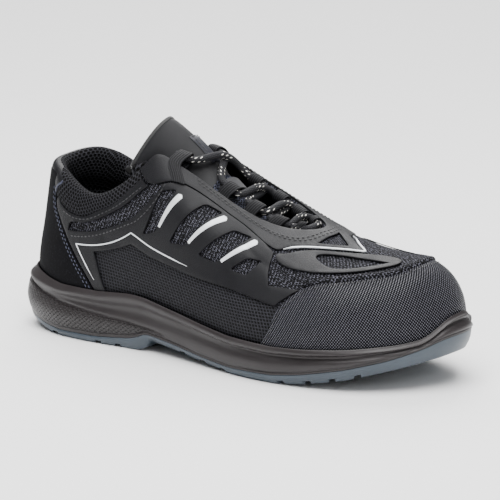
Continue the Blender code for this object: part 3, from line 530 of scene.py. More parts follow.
groove = np.interp(share, edge[:, 0], edge[:, 2]) / 1000 * np.exp(-((below_edge / BAND_GROOVE) ** 2))
front = np.clip((share - 0.42) / 0.06, 0, 1) * np.clip((0.94 - share) / 0.02, 0, 1)
groove += RIM_LINE[0] * front * np.exp(-(((below_rim - RIM_LINE[1]) / RIM_LINE[2]) ** 2))
groove += JOINT_LINE[0] * np.exp(-(((above_joint - JOINT_LINE[1]) / JOINT_LINE[2]) ** 2)) * (row_number > 30)
rows -= out[:, None, :] * groove[:, :, None]
knurl = np.clip(below_edge / 0.0012, 0, 1) * np.clip((above_joint - 0.0018) / 0.0006, 0, 1)
knurl *= np.clip((0.43 - share) / 0.03, 0, 1) * (row_number > 14)
floor = foot + out * (UPPER_WALL + GAP)
floor[:, 2] -= SOLE_CLEAR
bed = level(4, np.full(n, -GAP))
bed[:, 2] = np.minimum(bed[:, 2], foot[:, 2] - SOLE_CORE)
loops = [floor, seat_low] + list(rows.transpose(1, 0, 2)) + [bed]
run = run_along(flare)
uv_rows = [np.stack([run, loop[:, 2]], 1) for loop in loops]
ring_length = run[-1] + np.linalg.norm(flare[0] - flare[-1])

# Moulded polyurethane foam skin: brown-black, semi-matt, faintly pebbled from the mould. The
# knurl is crossed ribs, drawn coarser than the real 2 mm so that they show, and cut only where
# the piece's knurl mark is set.
foam, tree, shader = new_material("polyurethane_skin", "#1f1c1d", 0.4, {"Specular IOR Level": 0.4})
place = add_node(tree, "TexCoord", output="Object")
pebble = add_node(tree, "TexNoise", {"Vector": place, "Scale": 1600.0, "Detail": 2.0})
cloud = add_node(tree, "TexNoise", {"Vector": place, "Scale": 35.0, "Detail": 3.0})
gloss = {"Value": cloud, "From Min": 0.3, "From Max": 0.7, "To Min": 0.36, "To Max": 0.50}
plain = {"Factor": cloud, 6: linear("#211d1e"), 7: linear("#2a2627")}
under = add_node(tree, "Bump", {"Height": pebble, "Distance": 0.0001, "Strength": 0.5})
cloth = add_node(tree, "UVMap", uv_map="cloth")
mark = add_node(tree, "Attribute", output="Fac", attribute_name="knurl")
diamonds = {"Value": cell_pattern(tree, cloth, *KNURL_PITCH), "From Min": 0.22, "From Max": 0.46,
            "To Min": 1.0, "To Max": 0.0}
diamonds = add_node(tree, "MapRange", diamonds, interpolation_type="SMOOTHSTEP")
# The knurl's valleys are painted near-black, painted shade in the recesses between the ribs.
valley_shade = add_node(tree, "Math", {0: 1.0, 1: diamonds}, operation="SUBTRACT")
valley_shade = add_node(tree, "Math", {0: valley_shade, 1: mark}, operation="MULTIPLY")
skin = {"Factor": valley_shade, 6: add_node(tree, "Mix", plain, 2, data_type="RGBA"), 7: linear("#030303")}
raised = add_node(tree, "Math", {0: diamonds, 1: mark}, operation="MULTIPLY")
relief = {"Height": raised, "Distance": 0.0016, "Strength": 1.0, "Normal": under}
wire(tree, shader, {"Roughness": add_node(tree, "MapRange", gloss, interpolation_type="SMOOTHSTEP"),
                    "Base Color": add_node(tree, "Mix", skin, 2, data_type="RGBA"),
                    "Normal": add_node(tree, "Bump", relief)})
midsole = ring_body("midsole_foam", loops, [foam], 10, uv_rows, ring_length)
field = np.zeros(len(midsole.data.vertices))
field[2 * n:2 * n + SOLE_ROWS * n] = knurl.T.ravel()
midsole.data.attributes.new("knurl", "FLOAT", "POINT").data.foreach_set("value", field)
finish_piece(midsole, "midsole", "midsole", angle=50)

# Outsole: blue-grey polyurethane rubber moulded under the midsole, with flat heel and ball
# pads, a stepped heel breast, toe spring and zigzag grooves that notch its edge.
GROOVES = (0.105, 0.150, 0.262, 0.310, 0.470, 0.520, 0.570, 0.710, 0.760, 0.810, 0.860)
GROOVE_DEPTH = 0.0020
GROOVE_WIDTH = 0.0042
GROOVE_ZIG = 0.006
TREAD_EDGE = 0.0008
TREAD_ROUND = 0.003
SIDE_SWELL = 0.0007


def grained(name, colour, roughness, sockets, scale, detail, dark, light, bump=None):
    """A finish that wanders between two colours, and is as rough as its bump: depth, strength."""
    material, tree, shader = new_material(name, colour, roughness, sockets)
    place = add_node(tree, "TexCoord", output="Object")
    grain = add_node(tree, "TexNoise", {"Vector": place, "Scale": scale, "Detail": detail})
    tone = {"Factor": grain, 6: linear(dark), 7: linear(light)}
    wire(tree, shader, {"Base Color": add_node(tree, "Mix", tone, 2, data_type="RGBA")})
    if bump:
        relief = add_node(tree, "Bump", {"Height": grain, "Distance": bump[0], "Strength": bump[1]})
        wire(tree, shader, {"Normal": relief})
    return material, tree, shader, place


def face_outwards(obj, merge=0.0):
    """Turns every face outwards, once points closer than merge are joined."""
    shell = bmesh.new()
    shell.from_mesh(obj.data)
    if merge:
        bmesh.ops.remove_doubles(shell, verts=shell.verts, dist=merge)
    bmesh.ops.recalc_face_normals(shell, faces=shell.faces)
    shell.to_mesh(obj.data)
    shell.free()


def tube_faces(n, m):
    """Faces of a tube of n sections of m points, then those of its two ends."""
    faces = [(i * m + k, i * m + (k + 1) % m, (i + 1) * m + (k + 1) % m, (i + 1) * m + k)
             for i in range(n - 1) for k in range(m)]
    return faces + [tuple(range(m))[::-1], tuple(range((n - 1) * m, n * m))]


# Polyurethane rubber: blue-grey, satin, clouded and finely pebbled from the mould.
rubber, tree, shader, place = grained("outsole_rubber", "#4c555e", 0.42, {"Specular IOR Level": 0.4},
                                      60.0, 4.0, "#353d45", "#444d56")
pebble = add_node(tree, "TexNoise", {"Vector": place, "Scale": 1200.0, "Detail": 2.0})
relief = add_node(tree, "Bump", {"Height": pebble, "Distance": 0.0001, "Strength": 0.4})
wire(tree, shader, {"Normal": relief})
tread = level(5, sole_reach[:, 3] * BALL_WIDTH, 0.002)
drop = np.array([0, 0, GAP])
sides = []
for t in np.linspace(0, 1, 8):
    wall = joint - drop + (tread + [0, 0, TREAD_EDGE] - joint + drop) * t
    sides.append(wall + out * SIDE_SWELL * math.sin(math.pi * t))
loops = [bed - drop] + sides + [tread - out * TREAD_EDGE, tread - out * TREAD_ROUND]
outsole = ring_body("outsole_rubber", loops, [rubber], 14)
cutters = []
for groove_place in GROOVES:
    points = []
    for step, part in enumerate(np.linspace(-1, 1, 9)):
        middle = along(groove_place) + GROOVE_ZIG * (1 if step % 2 else -1) * 0.6
        row = []
        for x in (middle - GROOVE_WIDTH / 2, middle + GROOVE_WIDTH / 2):
            top = sole_height(np.array(x), 5, 0.002) + GROOVE_DEPTH
            row += [(x, part * BALL_WIDTH * 0.65, -0.005), (x, part * BALL_WIDTH * 0.65, top)]
        points += [row[0], row[1], row[3], row[2]]
    cutter = new_mesh("groove_cutter", points, tube_faces(9, 4), [rubber])
    face_outwards(cutter)
    cut = outsole.modifiers.new("groove", "BOOLEAN")
    cut.operation = "DIFFERENCE"
    cut.solver = "EXACT"
    cut.object = cutter
    cutters.append(cutter)
finish_piece(outsole, "outsole", "outsole", angle=30)
for cutter in cutters:
    bpy.data.objects.remove(cutter)

# Footbed: a loose moulded insole, 4 mm of foam under dark grey brushed textile, whose short nap
# looks soft and dull. It lies on the board inside the shoe.
INSOLE_THICK = 0.004
INSOLE_INSET = 0.0012
INSOLE_ROUND = 0.0008
textile = grained("brushed_textile", "#26262a", 0.9, {"Sheen Weight": 0.3}, 1500.0, 3.0,
                  "#1a1a1d", "#37373c", (0.0003, 0.7))[0]
base = foot - out * INSOLE_INSET
loops = [base - out * INSOLE_ROUND + [0, 0, INSOLE_THICK], base + [0, 0, INSOLE_THICK - INSOLE_ROUND],
         base + [0, 0, GAP]]
insole = ring_body("footbed", loops, [textile], 12)
finish_piece(insole, "insole", "insole", angle=50)

# Toe guard: abrasion-proof coated fabric with rows of raised dots. It is one panel, cut flat,
# drawn over the toe, tucked under the sole's rim and sewn to the knit along its upper edge.
OVERLAY_WALL = 0.0012
OVERLAY_LIFT = UPPER_WALL + GAP
OVERLAY_TOP = OVERLAY_LIFT + OVERLAY_WALL
RIM_RISE_STEPS = np.linspace(0, 0.5, 60)
rim_points = last_surface(SOLE_TURNS, np.tile(RIM_RISE_STEPS, (n, 1)), OVERLAY_LIFT)
RIM_RISES = np.array([np.interp(h, row[:, 2], RIM_RISE_STEPS) for h, row in zip(rim_height, rim_points)])


def rim_rise(turns):
    turns_round, rises_round = np.append(SOLE_TURNS, TURNS), np.append(RIM_RISES, RIM_RISES[0])
    return np.interp(np.asarray(turns) % TURNS, turns_round, rises_round)


def rim_line(start, stop):
    """Points just below the sole's rim, where a panel's lower edge is lasted under it."""
    line = np.linspace(start, stop, max(3, int(abs(stop - start) / 0.2)))
    return [(t, float(rim_rise(t)) - 0.03) for t in line]


def trace(points, closed=True, step=1.5):
    """A line through points of turn and rise, smooth but where a point is given twice."""
    knots = [np.array(p, float) * SPAN for p in points]
    count = len(knots)
    line = []
    for i in range(count if closed else count - 1):
        b, c = knots[i], knots[(i + 1) % count]
        length = np.linalg.norm(c - b)
        if length < 1e-6:
            continue
        a = knots[i - 1] if closed or i else b
        d = knots[(i + 2) % count] if closed or i + 2 < count else c
        ahead = (c - b) / length
        enter = ahead + ((b - a) / np.linalg.norm(b - a) if np.linalg.norm(b - a) > 1e-6 else ahead)
        leave = ahead + ((d - c) / np.linalg.norm(d - c) if np.linalg.norm(d - c) > 1e-6 else ahead)
        enter = enter / max(np.linalg.norm(enter), 1e-6) * length
        leave = leave / max(np.linalg.norm(leave), 1e-6) * length
        pieces = max(2, int(math.ceil(length / step)))
        for t in np.arange(pieces) / pieces:
            line.append((2 * t**3 - 3 * t**2 + 1) * b + (t**3 - 2 * t**2 + t) * enter
                        + (3 * t**2 - 2 * t**3) * c + (t**3 - t**2) * leave)
    if not closed:
        line.append(knots[-1])
    return np.array(line) / SPAN


def inside(points, line):
    """Which points lie within a closed line, by the even-odd rule."""
    x, y = points.T
    odd = np.zeros(len(points), bool)
    for (x1, y1), (x2, y2) in zip(line, np.roll(line, -1, 0)):
        if y1 != y2:
            crosses = (y1 > y) != (y2 > y)
            odd ^= crosses & (x < (x2 - x1) * (y - y1) / (y2 - y1) + x1)
    return odd


def cut_pattern(outline, windows, spacing):
    """The flat pattern of a panel as points of turn and rise, and triangles."""
    lines = [trace(outline) * SPAN] + [trace(window) * SPAN for window in windows]
    low, high = lines[0].min(0), lines[0].max(0)
    columns = np.arange(low[0], high[0], spacing)
    levels = np.arange(low[1], high[1], spacing)
    grid = np.array([(x + (k % 2) * spacing / 2, y) for k, y in enumerate(levels) for x in columns])
    keep = inside(grid, lines[0])
    for line in lines[1:]:
        keep &= ~inside(grid, line)
    grid = grid[keep]
    edge = np.concatenate(lines)
    gap = np.array([np.linalg.norm(edge - p, axis=1).min() for p in grid])
    grid = grid[gap > 0.6 * spacing]
    places = np.concatenate([edge, grid])
    edges, start = [], 0
    for line in lines:
        count = len(line)
        edges += [(start + i, start + (i + 1) % count) for i in range(count)]
        start += count
    found, _, faces, _, _, _ = delaunay_2d_cdt([Vector(p) for p in places], edges, [], 0, 1e-5)
    flat = np.array([tuple(v) for v in found])
    faces = np.array([face for face in faces if len(face) == 3])
    centres = flat[faces].mean(1)
    keep = inside(centres, lines[0])
    for line in lines[1:]:
        keep &= ~inside(centres, line)
    faces = faces[keep]
    used = np.unique(faces)
    number = np.full(len(flat), -1)
    number[used] = np.arange(len(used))
    return flat[used] / SPAN, number[faces]


def make_panel(name, outline, windows, material, slot, *nodes, lift=OVERLAY_LIFT, wall=OVERLAY_WALL,
               spacing=2.0, edge=0.0004):
    """A panel cut flat, wrapped over the last, given its thickness and softened at its edges."""
    flat, faces = cut_pattern(outline, windows, spacing)
    points = last_surface(flat[:, 0], flat[:, 1:], lift)[:, 0]
    obj = new_mesh(name, points, faces, [material], cloth_uv(flat[:, 0], flat[:, 1]))
    thick = obj.modifiers.new("wall", "SOLIDIFY")
    thick.thickness = wall
    thick.offset = 1
    soft = obj.modifiers.new("edge", "BEVEL")
    soft.width = edge
    soft.segments = 2
    soft.limit_method = "ANGLE"
    soft.angle_limit = math.radians(50)
    return finish_piece(obj, slot, *nodes)


def medial(points):
    """The same line on the medial side."""
    return [(TURNS - t, r) for t, r in points]


def surface_line(line, lift):
    """Points and unit normals along a line of turn and rise."""
    line = np.asarray(line, float)
    points = last_surface(line[:, 0], line[:, 1:], lift)[:, 0]
    above = last_surface(line[:, 0], line[:, 1:], lift + 0.001)[:, 0]
    return points, unit(above - points)


def read_at(values, travel, place):
    return np.array([np.interp(place, travel, values[:, k]) for k in range(3)])


def sew(name, lines, material, slot, lift, length=0.0021, pitch=0.0030, width=0.0007):
    """Lock stitches along lines of turn and rise, or of points with normals, as one mesh."""
    shape = [(-0.5, 0, -0.2)]
    for x, size in ((-0.34, 0.75), (0, 1.0), (0.34, 0.75)):
        for k in range(6):
            angle = k * math.pi / 3
            shape.append((x, size * math.cos(angle) / 2, size * math.sin(angle) / 2 + 0.1))
    shape.append((0.5, 0, -0.2))
    shape = np.array(shape) * [length, width, width]
    pattern = [(0, 1 + k, 1 + (k + 1) % 6) for k in range(6)]
    for ring in (1, 7):
        pattern += [(ring + k, ring + 6 + k, ring + 6 + (k + 1) % 6, ring + (k + 1) % 6) for k in range(6)]
    pattern += [(19, 13 + (k + 1) % 6, 13 + k) for k in range(6)]
    points, faces = [], []
    for line in lines:
        path, normals = line if isinstance(line, tuple) else surface_line(line, lift)
        travel = run_along(path)
        for at in np.arange(pitch / 2, travel[-1], pitch):
            middle = read_at(path, travel, at)
            ahead = read_at(path, travel, at + 0.0008) - read_at(path, travel, at - 0.0008)
            run = ahead / max(np.linalg.norm(ahead), 1e-9)
            up = read_at(normals, travel, at)
            up = unit(up - run * up.dot(run))
            side = np.cross(up, run)
            start = len(points)
            points += list(middle + shape[:, :1] * run + shape[:, 1:2] * side + shape[:, 2:] * up)
            faces += [tuple(start + v for v in face) for face in pattern]
    return finish_piece(new_mesh(name, points, faces, [material]), slot)


# Dotted guard fabric: black coated textile with a glossy raised dot every 1.5 mm, which is
# about a third coarser than real so that the rows show.
guard, tree, shader = new_material("dotted_guard_fabric", "#0c0c0f", 0.5, {"Specular IOR Level": 0.26})
cloth = add_node(tree, "UVMap", uv_map="cloth")
dots = {"Value": cell_pattern(tree, cloth, 0.0015, 0.0017), "From Min": 0.14, "From Max": 0.36,
        "To Min": 1.0, "To Max": 0.0}
dots = add_node(tree, "MapRange", dots, interpolation_type="SMOOTHSTEP")
# The dots are painted grey, a painted highlight on each raised dot, and the ground between them near-black,
# painted shade.
tone = {"Factor": dots, 6: linear("#020203"), 7: linear("#4f4f58")}
dull = {"Value": dots, "To Min": 0.7, "To Max": 0.3}
shine = {"Value": dots, "To Min": 0.04, "To Max": 0.55}
wire(tree, shader, {"Base Color": add_node(tree, "Mix", tone, 2, data_type="RGBA"),
                    "Roughness": add_node(tree, "MapRange", dull, interpolation_type="SMOOTHSTEP"),
                    "Specular IOR Level": add_node(tree, "MapRange", shine, interpolation_type="SMOOTHSTEP"),
                    "Normal": add_node(tree, "Bump", {"Height": dots, "Distance": 0.0006, "Strength": 1.0})})

# Bonded polyester sewing thread in three colours: satin, with a fine twist.
threads = {}
for name, dark, light in (("charcoal_thread", "#0c0c0e", "#2e2e33"), ("navy_thread", "#0a1022", "#1b2545"),
                          ("black_thread", "#030304", "#0e0e10")):
    threads[name] = grained(name, dark, 0.6, {"Sheen Weight": 0.2}, 1200.0, 1.0, dark, light, (0.0001, 0.5))[0]

GUARD_EDGE = [(6.22, 0.08), (6.40, 0.16), (6.58, 0.25), (6.88, 0.34), (7.18, 0.405), (7.48, 0.43),
              (8.03, 0.42), (8.40, 0.40), (8.70, 0.41), (9.00, 0.415)]
GUARD_SEAM = 0.022
edge = GUARD_EDGE + medial(GUARD_EDGE)[::-1][1:]
tuck = rim_line(6.14, 11.86)
outline = [tuck[0], tuck[0]] + edge + [tuck[-1]] + rim_line(11.86, 6.14)[:-1]
make_panel("toe_guard_fabric", outline, [], guard, "toe_guard", "toe_guard", spacing=1.8)
seam = trace([(t, r - GUARD_SEAM) for t, r in edge], False)
sew("toe_guard_stitches", [seam], threads["charcoal_thread"], "toe_guard", OVERLAY_TOP)

# Vamp roll: the knit's own folded edge, pushed up by the toe guard. It is the same knit, and
# stands along the guard's upper edge as a soft, slightly lumpy roll.
ROLL_WIDTH = 0.0066
ROLL_HEIGHT = 0.0032
HUMP = [(-0.5, 0), (-0.42, 0.45), (-0.28, 0.82), (-0.1, 1.0), (0.1, 1.0), (0.28, 0.82), (0.42, 0.45), (0.5, 0)]


def sweep(name, path, normals, section, widths, material):
    """A closed section carried along a path: across and up in metres, widened by widths."""
    path, section = np.asarray(path, float), np.asarray(section, float)
    run = unit(np.gradient(path, axis=0))
    up = unit(normals - run * (normals * run).sum(1)[:, None])
    side = np.cross(up, run)
    widths = np.broadcast_to(np.asarray(widths, float), len(path))[:, None, None]
    points = path[:, None] + side[:, None] * section[None, :, :1] * widths + up[:, None] * section[None, :, 1:]
    n, m = len(path), len(section)
    girth = np.linalg.norm(section - np.roll(section, 1, 0), axis=1)
    uv = np.stack([np.repeat(run_along(path), m), np.tile(np.cumsum(girth) - girth[0], n)], 1)
    obj = new_mesh(name, points.reshape(-1, 3), tube_faces(n, m), [material], uv)
    face_outwards(obj)
    return obj


def tapered(count, ends, least):
    """Widths that grow from least to 1 over the points at both ends."""
    step = np.arange(count)
    return np.clip(np.minimum(step, step[::-1]) / ends, least, 1)


roll_line = [(t, r + 0.014) for t, r in GUARD_EDGE[4:]]
roll_line += medial(roll_line)[::-1][1:]
path, normals = surface_line(trace(roll_line, False, 0.8), UPPER_WALL - 0.0004)
count = np.arange(len(path))
widths = tapered(len(path), 20, 0.15) * (0.9 + 0.1 * np.sin(count * 0.7) * np.sin(count * 0.23))
roll_section = [(a * ROLL_WIDTH, b * ROLL_HEIGHT) for a, b in HUMP]
finish_piece(sweep("vamp_roll", path, normals, roll_section, widths, knit), "upper", angle=60)

# Heel counter: one panel of black nubuck-like microfibre round the heel, with a short nap whose
# tips are painted lighter at random, partly fibre tone and partly painted sheen. Two rows of navy
# stitches on each side hold it to the knit.
COUNTER_EDGE = [(1.52, 0.965), (1.53, 0.90), (1.56, 0.83), (1.66, 0.74), (1.86, 0.64), (2.10, 0.50),
                (2.35, 0.345), (2.55, 0.21), (2.68, 0.10)]
nubuck, tree, shader = new_material("nubuck_microfibre", "#0b0b0d", 0.75, {"Specular IOR Level": 0.07})
place = add_node(tree, "TexCoord", output="Object")
nap = add_node(tree, "TexNoise", {"Vector": place, "Scale": 900.0, "Detail": 4.0})
cloud = add_node(tree, "TexNoise", {"Vector": place, "Scale": 45.0, "Detail": 3.0})
dark = {"Factor": cloud, 6: linear("#050507"), 7: linear("#0b0b0e")}
# Lighter nap tips, scattered at random: partly fibre tone, partly painted sheen.
sheen_tips = {"Value": nap, "From Min": 0.5, "From Max": 0.75}
tone = {"Factor": add_node(tree, "MapRange", sheen_tips, interpolation_type="SMOOTHSTEP"),
        6: add_node(tree, "Mix", dark, 2, data_type="RGBA"), 7: linear("#151519")}
wire(tree, shader, {"Base Color": add_node(tree, "Mix", tone, 2, data_type="RGBA"),
                    "Normal": add_node(tree, "Bump", {"Height": nap, "Distance": 0.00015, "Strength": 0.6})})
back = [(-t, r) for t, r in COUNTER_EDGE]
outline = back[::-1] + [(-0.7, 0.965), (0.0, 0.965), (0.7, 0.965)] + COUNTER_EDGE + rim_line(2.74, -2.74)
make_panel("heel_counter_nubuck", outline, [], nubuck, "heel_counter", "heel_counter")
for inset in (0.055, 0.13):
    rows = [trace([(s * (t - inset), r) for t, r in COUNTER_EDGE[1:]], False) for s in (1, -1)]
    sew(f"counter_stitches_{int(inset * 1000)}", rows, threads["navy_thread"], "heel_counter", OVERLAY_TOP)

# Side cages: smooth charcoal synthetic, one bonded panel on each side with windows cut in it,
# over the knit and, low down, over a stiff open net. A thin line and three short bars of silver
# transfer film are pressed onto it, and two rows of stitches follow its long upper window.
QUARTER_LOW = [(1.62, 0.80), (1.68, 0.745), (1.90, 0.645), (2.14, 0.51), (2.39, 0.355), (2.58, 0.22),
               (2.72, 0.11)]
QUARTER_TOE = [(6.16, 0.09), (6.36, 0.185), (6.56, 0.275), (6.84, 0.345)]
QUARTER_HIGH = [(7.08, 0.392), (7.08, 0.392), (6.80, 0.402), (6.62, 0.405), (6.62, 0.405), (6.72, 0.50),
                (7.00, 0.655), (7.00, 0.655), (6.92, 0.73), (6.70, 0.81), (6.36, 0.845), (5.50, 0.868),
                (4.62, 0.868), (4.50, 0.925), (4.30, 0.925), (3.53, 0.895), (3.00, 0.865), (2.60, 0.80),
                (2.38, 0.785), (2.05, 0.78), (1.80, 0.80), (1.66, 0.835)]
SIDE_WINDOW = [(2.98, 0.04), (2.88, 0.17), (2.76, 0.49), (2.76, 0.49), (3.20, 0.525), (3.78, 0.56),
               (3.78, 0.56), (4.15, 0.455), (5.03, 0.345), (6.03, 0.325), (6.60, 0.285), (6.60, 0.285),
               (6.38, 0.12), (6.30, 0.0), (6.30, 0.0), (4.50, -0.05), (3.05, -0.05), (3.05, -0.05)]
COLLAR_WINDOW = [(2.10, 0.61), (2.10, 0.61), (2.15, 0.69), (2.53, 0.74), (3.25, 0.82), (3.98, 0.85),
                 (4.85, 0.855), (4.95, 0.84), (4.78, 0.80), (4.05, 0.735), (3.65, 0.725), (3.10, 0.705)]
NET_EDGE = [(2.70, 0.10), (2.66, 0.52), (2.66, 0.52), (3.85, 0.60), (4.20, 0.49), (5.03, 0.38), (6.03, 0.36),
            (6.66, 0.31), (6.66, 0.31), (6.30, 0.08)]
FILM_LINE = [(2.70, 0.22), (2.33, 0.515), (2.33, 0.515), (3.87, 0.635), (3.87, 0.635), (4.30, 0.50),
             (4.80, 0.415), (5.05, 0.39)]
LOW_SEAM = [(2.18, 0.57), (3.20, 0.675), (3.70, 0.70), (4.10, 0.70), (4.80, 0.775), (5.05, 0.845)]
HIGH_SEAM = [(1.90, 0.755), (2.30, 0.755), (2.60, 0.775), (3.20, 0.845), (3.90, 0.875), (4.45, 0.88)]
# The slanted windows: start, low and high rise, and width. A bar lies ahead of each wide one.
VENT_PLACES = ((4.15, 0.60, 0.82, 0.36), (4.77, 0.515, 0.825, 0.36), (5.39, 0.47, 0.745, 0.36),
               (6.01, 0.452, 0.575, 0.27))
VENT_LEAN = 3.6
VENT_SOFT = 0.05
BAR_GAP = 0.13
BAR_WIDTH = 0.0046
FILM_WIDTH = 0.0009
FILM_THICK = 0.0003
FILM_SINK = 0.0001
vents, bars = [], []
for start, low, high, wide in VENT_PLACES:
    lean = VENT_LEAN * (high - low)
    corners = [(start, low), (start + wide, low - 0.012), (start + wide + lean, high),
               (start + lean, high - 0.01)]
    soft = []
    for (t0, r0), (t1, r1), (t2, r2) in zip(corners[-1:] + corners[:-1], corners, corners[1:] + corners[:1]):
        for t, r in ((t0, r0), (t2, r2)):
            share = VENT_SOFT / math.hypot(t - t1, (r - r1) * SPAN[1] / SPAN[0])
            soft.append((t1 + (t - t1) * share, r1 + (r - r1) * share))
    vents.append([point for pair in zip(soft, soft) for point in pair])
    if wide > 0.3:
        bar = start + wide + BAR_GAP
        bars.append([(bar, low + 0.012), (bar + lean * 0.92, high - 0.025)])

# Smooth synthetic: charcoal polyurethane film on textile, satin, with a fine calf-like grain.
smooth, tree, shader, place = grained("smooth_synthetic", "#16161a", 0.46, {"Specular IOR Level": 0.19},
                                      50.0, 3.0, "#0f0f12", "#161619")
cloud = add_node(tree, "TexNoise", {"Vector": place, "Scale": 50.0, "Detail": 3.0})
gloss = {"Value": cloud, "From Min": 0.3, "From Max": 0.7, "To Min": 0.42, "To Max": 0.54}
grain = add_node(tree, "TexVoronoi", {"Vector": place, "Scale": 1500.0}, feature="DISTANCE_TO_EDGE")
grain = add_node(tree, "MapRange", {"Value": grain, "From Max": 0.12}, interpolation_type="SMOOTHSTEP")
wire(tree, shader, {"Roughness": add_node(tree, "MapRange", gloss, interpolation_type="SMOOTHSTEP"),
                    "Normal": add_node(tree, "Bump", {"Height": grain, "Distance": 0.00008, "Strength": 0.5})})

# Silver transfer film: pale, pearly and slightly metallic, with a thin clear coat.
silver = grained("silver_transfer_film", "#d6d9dc", 0.38, {"Metallic": 0.15, "Coat Weight": 0.2}, 400.0, 2.0,
                 "#ccd0d4", "#eceef0")[0]

# Open side mesh: a stiff, matt, square net 2 mm apart, as coarse as the real one.
# Its holes are painted near-black: partly the black knit beneath and partly painted shade.
net, tree, shader = new_material("square_net", "#101012", 0.7, {"Specular IOR Level": 0.14})
cloth = add_node(tree, "UVMap", uv_map="cloth")
cell = add_node(tree, "VectorMath", {0: cloth, 1: (1 / 0.0021, 1 / 0.0019, 0)}, operation="MULTIPLY")
cell = add_node(tree, "VectorMath", {0: cell}, operation="FRACTION")
cell = add_node(tree, "VectorMath", {0: cell, 1: (0.5, 0.5, 0)}, operation="SUBTRACT")
cell = add_node(tree, "VectorMath", {0: cell}, operation="ABSOLUTE")
across = add_node(tree, "SeparateXYZ", {0: cell}, "X")
up = add_node(tree, "SeparateXYZ", {0: cell}, "Y")
strand = add_node(tree, "Math", {0: across, 1: up}, operation="MAXIMUM")
strand = {"Value": strand, "From Min": 0.29, "From Max": 0.38}
strand = add_node(tree, "MapRange", strand, interpolation_type="SMOOTHSTEP")
fleck = add_node(tree, "TexNoise", {"Vector": cloth, "Scale": 900.0, "Detail": 1.0})
tone = {"Factor": fleck, 6: linear("#0d0d10"), 7: linear("#3a3a40")}
tone = {"Factor": strand, 6: linear("#010101"), 7: add_node(tree, "Mix", tone, 2, data_type="RGBA")}
wire(tree, shader, {"Base Color": add_node(tree, "Mix", tone, 2, data_type="RGBA"),
                    "Normal": add_node(tree, "Bump", {"Height": strand, "Distance": 0.0010, "Strength": 1.0})})


def on_side(side, line, turned=False):
    """A lateral line, or its mirror on the medial side, which can be turned end for end."""
    if side == "lateral":
        return list(line)
    return medial(line)[::-1] if turned else medial(line)


FILM = [(-0.5, 0), (-0.40, 0.8), (-0.2, 1.0), (0.2, 1.0), (0.40, 0.8), (0.5, 0)]
for side in ("lateral", "medial"):
    quarter = f"quarter_{side}"
    windows = [on_side(side, line, True) for line in [SIDE_WINDOW, COLLAR_WINDOW] + vents]
    outline = on_side(side, QUARTER_LOW + rim_line(2.80, 6.10) + QUARTER_TOE + QUARTER_HIGH, True)
    make_panel(f"quarter_{side}_synthetic", outline, windows, smooth, quarter, quarter)
    make_panel(f"side_net_{side}", on_side(side, NET_EDGE + rim_line(6.20, 2.80), True), [], net, "upper",
               lift=UPPER_WALL + 0.00003, wall=0.00022, spacing=2.5, edge=0.00005)
    for number, bar in enumerate(bars):
        path, normals = surface_line(trace(on_side(side, bar), False, 0.8), OVERLAY_TOP - FILM_SINK)
        ends = np.clip(np.arange(len(path))[::-1] / 3 + 0.3, 0, 1) * np.linspace(0.45, 1, len(path))
        section = [(a * BAR_WIDTH, b * FILM_THICK) for a, b in FILM]
        finish_piece(sweep(f"side_bar_{side}_{number + 1}", path, normals, section, ends, silver), quarter)
    path, normals = surface_line(trace(on_side(side, FILM_LINE), False, 0.8), OVERLAY_TOP - FILM_SINK)
    section = [(a * FILM_WIDTH, b * FILM_THICK) for a, b in FILM]
    film = sweep(f"quarter_line_{side}", path, normals, section, tapered(len(path), 14, 0.25), silver)
    finish_piece(film, quarter)
    rows = [trace(on_side(side, line), False) for line in (LOW_SEAM, HIGH_SEAM)]
    sew(f"quarter_stitches_{side}", rows, threads["charcoal_thread"], quarter, OVERLAY_TOP)

# Eyestay: the same synthetic in one piece round the throat, with a lobe beside each top strap
# and a V at the front with a three-cornered window. Two rows of black stitches run round the
# throat, and a raised silver line follows the V.
STAY_BACK = [(4.56, 0.955), (4.66, 0.885), (5.50, 0.88), (6.36, 0.855), (6.74, 0.815), (6.98, 0.725),
             (7.10, 0.70)]
STAY_FRONT = [(7.28, 0.725), (7.55, 0.77), (8.03, 0.79), (8.43, 0.74), (8.64, 0.675), (8.64, 0.675),
              (8.84, 0.76), (9.20, 0.84), (9.75, 0.80), (10.20, 0.785)]
STAY_LOBE = 0.05
LOBE_PLACE = 3.95
LOBE_SPREAD = 0.33
TRIANGLE = [(8.20, 0.83), (8.20, 0.83), (8.42, 0.795), (8.62, 0.76), (8.62, 0.76), (8.88, 0.85),
            (9.12, 0.905), (9.12, 0.905), (8.60, 0.885)]
THROAT_SEAM = [(5.80, 0.965), (6.30, 0.955), (6.83, 0.93), (7.25, 0.885), (7.55, 0.87), (7.90, 0.875),
               (8.30, 0.91), (8.70, 0.945), (9.0, 0.95)]
VAMP_LINE = [(7.26, 0.712), (7.55, 0.757), (8.03, 0.777), (8.43, 0.727), (8.64, 0.66), (8.64, 0.66),
             (8.86, 0.75), (9.20, 0.828)]
medial_low = medial(STAY_BACK + [(7.40, 0.75)])
top_edge = []
for t in np.linspace(13.44, 4.56, 90):
    lobe = math.exp(-((abs(t - 9) - LOBE_PLACE) / LOBE_SPREAD) ** 2)
    top_edge.append((t, 0.99 + STAY_LOBE * lobe))
outline = STAY_BACK + STAY_FRONT + medial_low[::-1] + [medial_low[0]] + top_edge[1:]
make_panel("eyestay_synthetic", outline, [TRIANGLE], smooth, "eyestay", "eyestay", spacing=1.8)
seam = THROAT_SEAM + medial(THROAT_SEAM)[::-1][1:]
for inset in (0.0, 0.026):
    line = trace([(t, r - inset) for t, r in seam], False)
    sew(f"throat_stitches_{int(inset * 1000)}", [line], threads["black_thread"], "eyestay", OVERLAY_TOP)
path, normals = surface_line(trace(VAMP_LINE, False, 0.8), OVERLAY_TOP - 0.0002)
section = [(a * 0.0012, b * 0.0007) for a, b in FILM]
finish_piece(sweep("vamp_line", path, normals, section, tapered(len(path), 12, 0.3), silver), "eyestay")

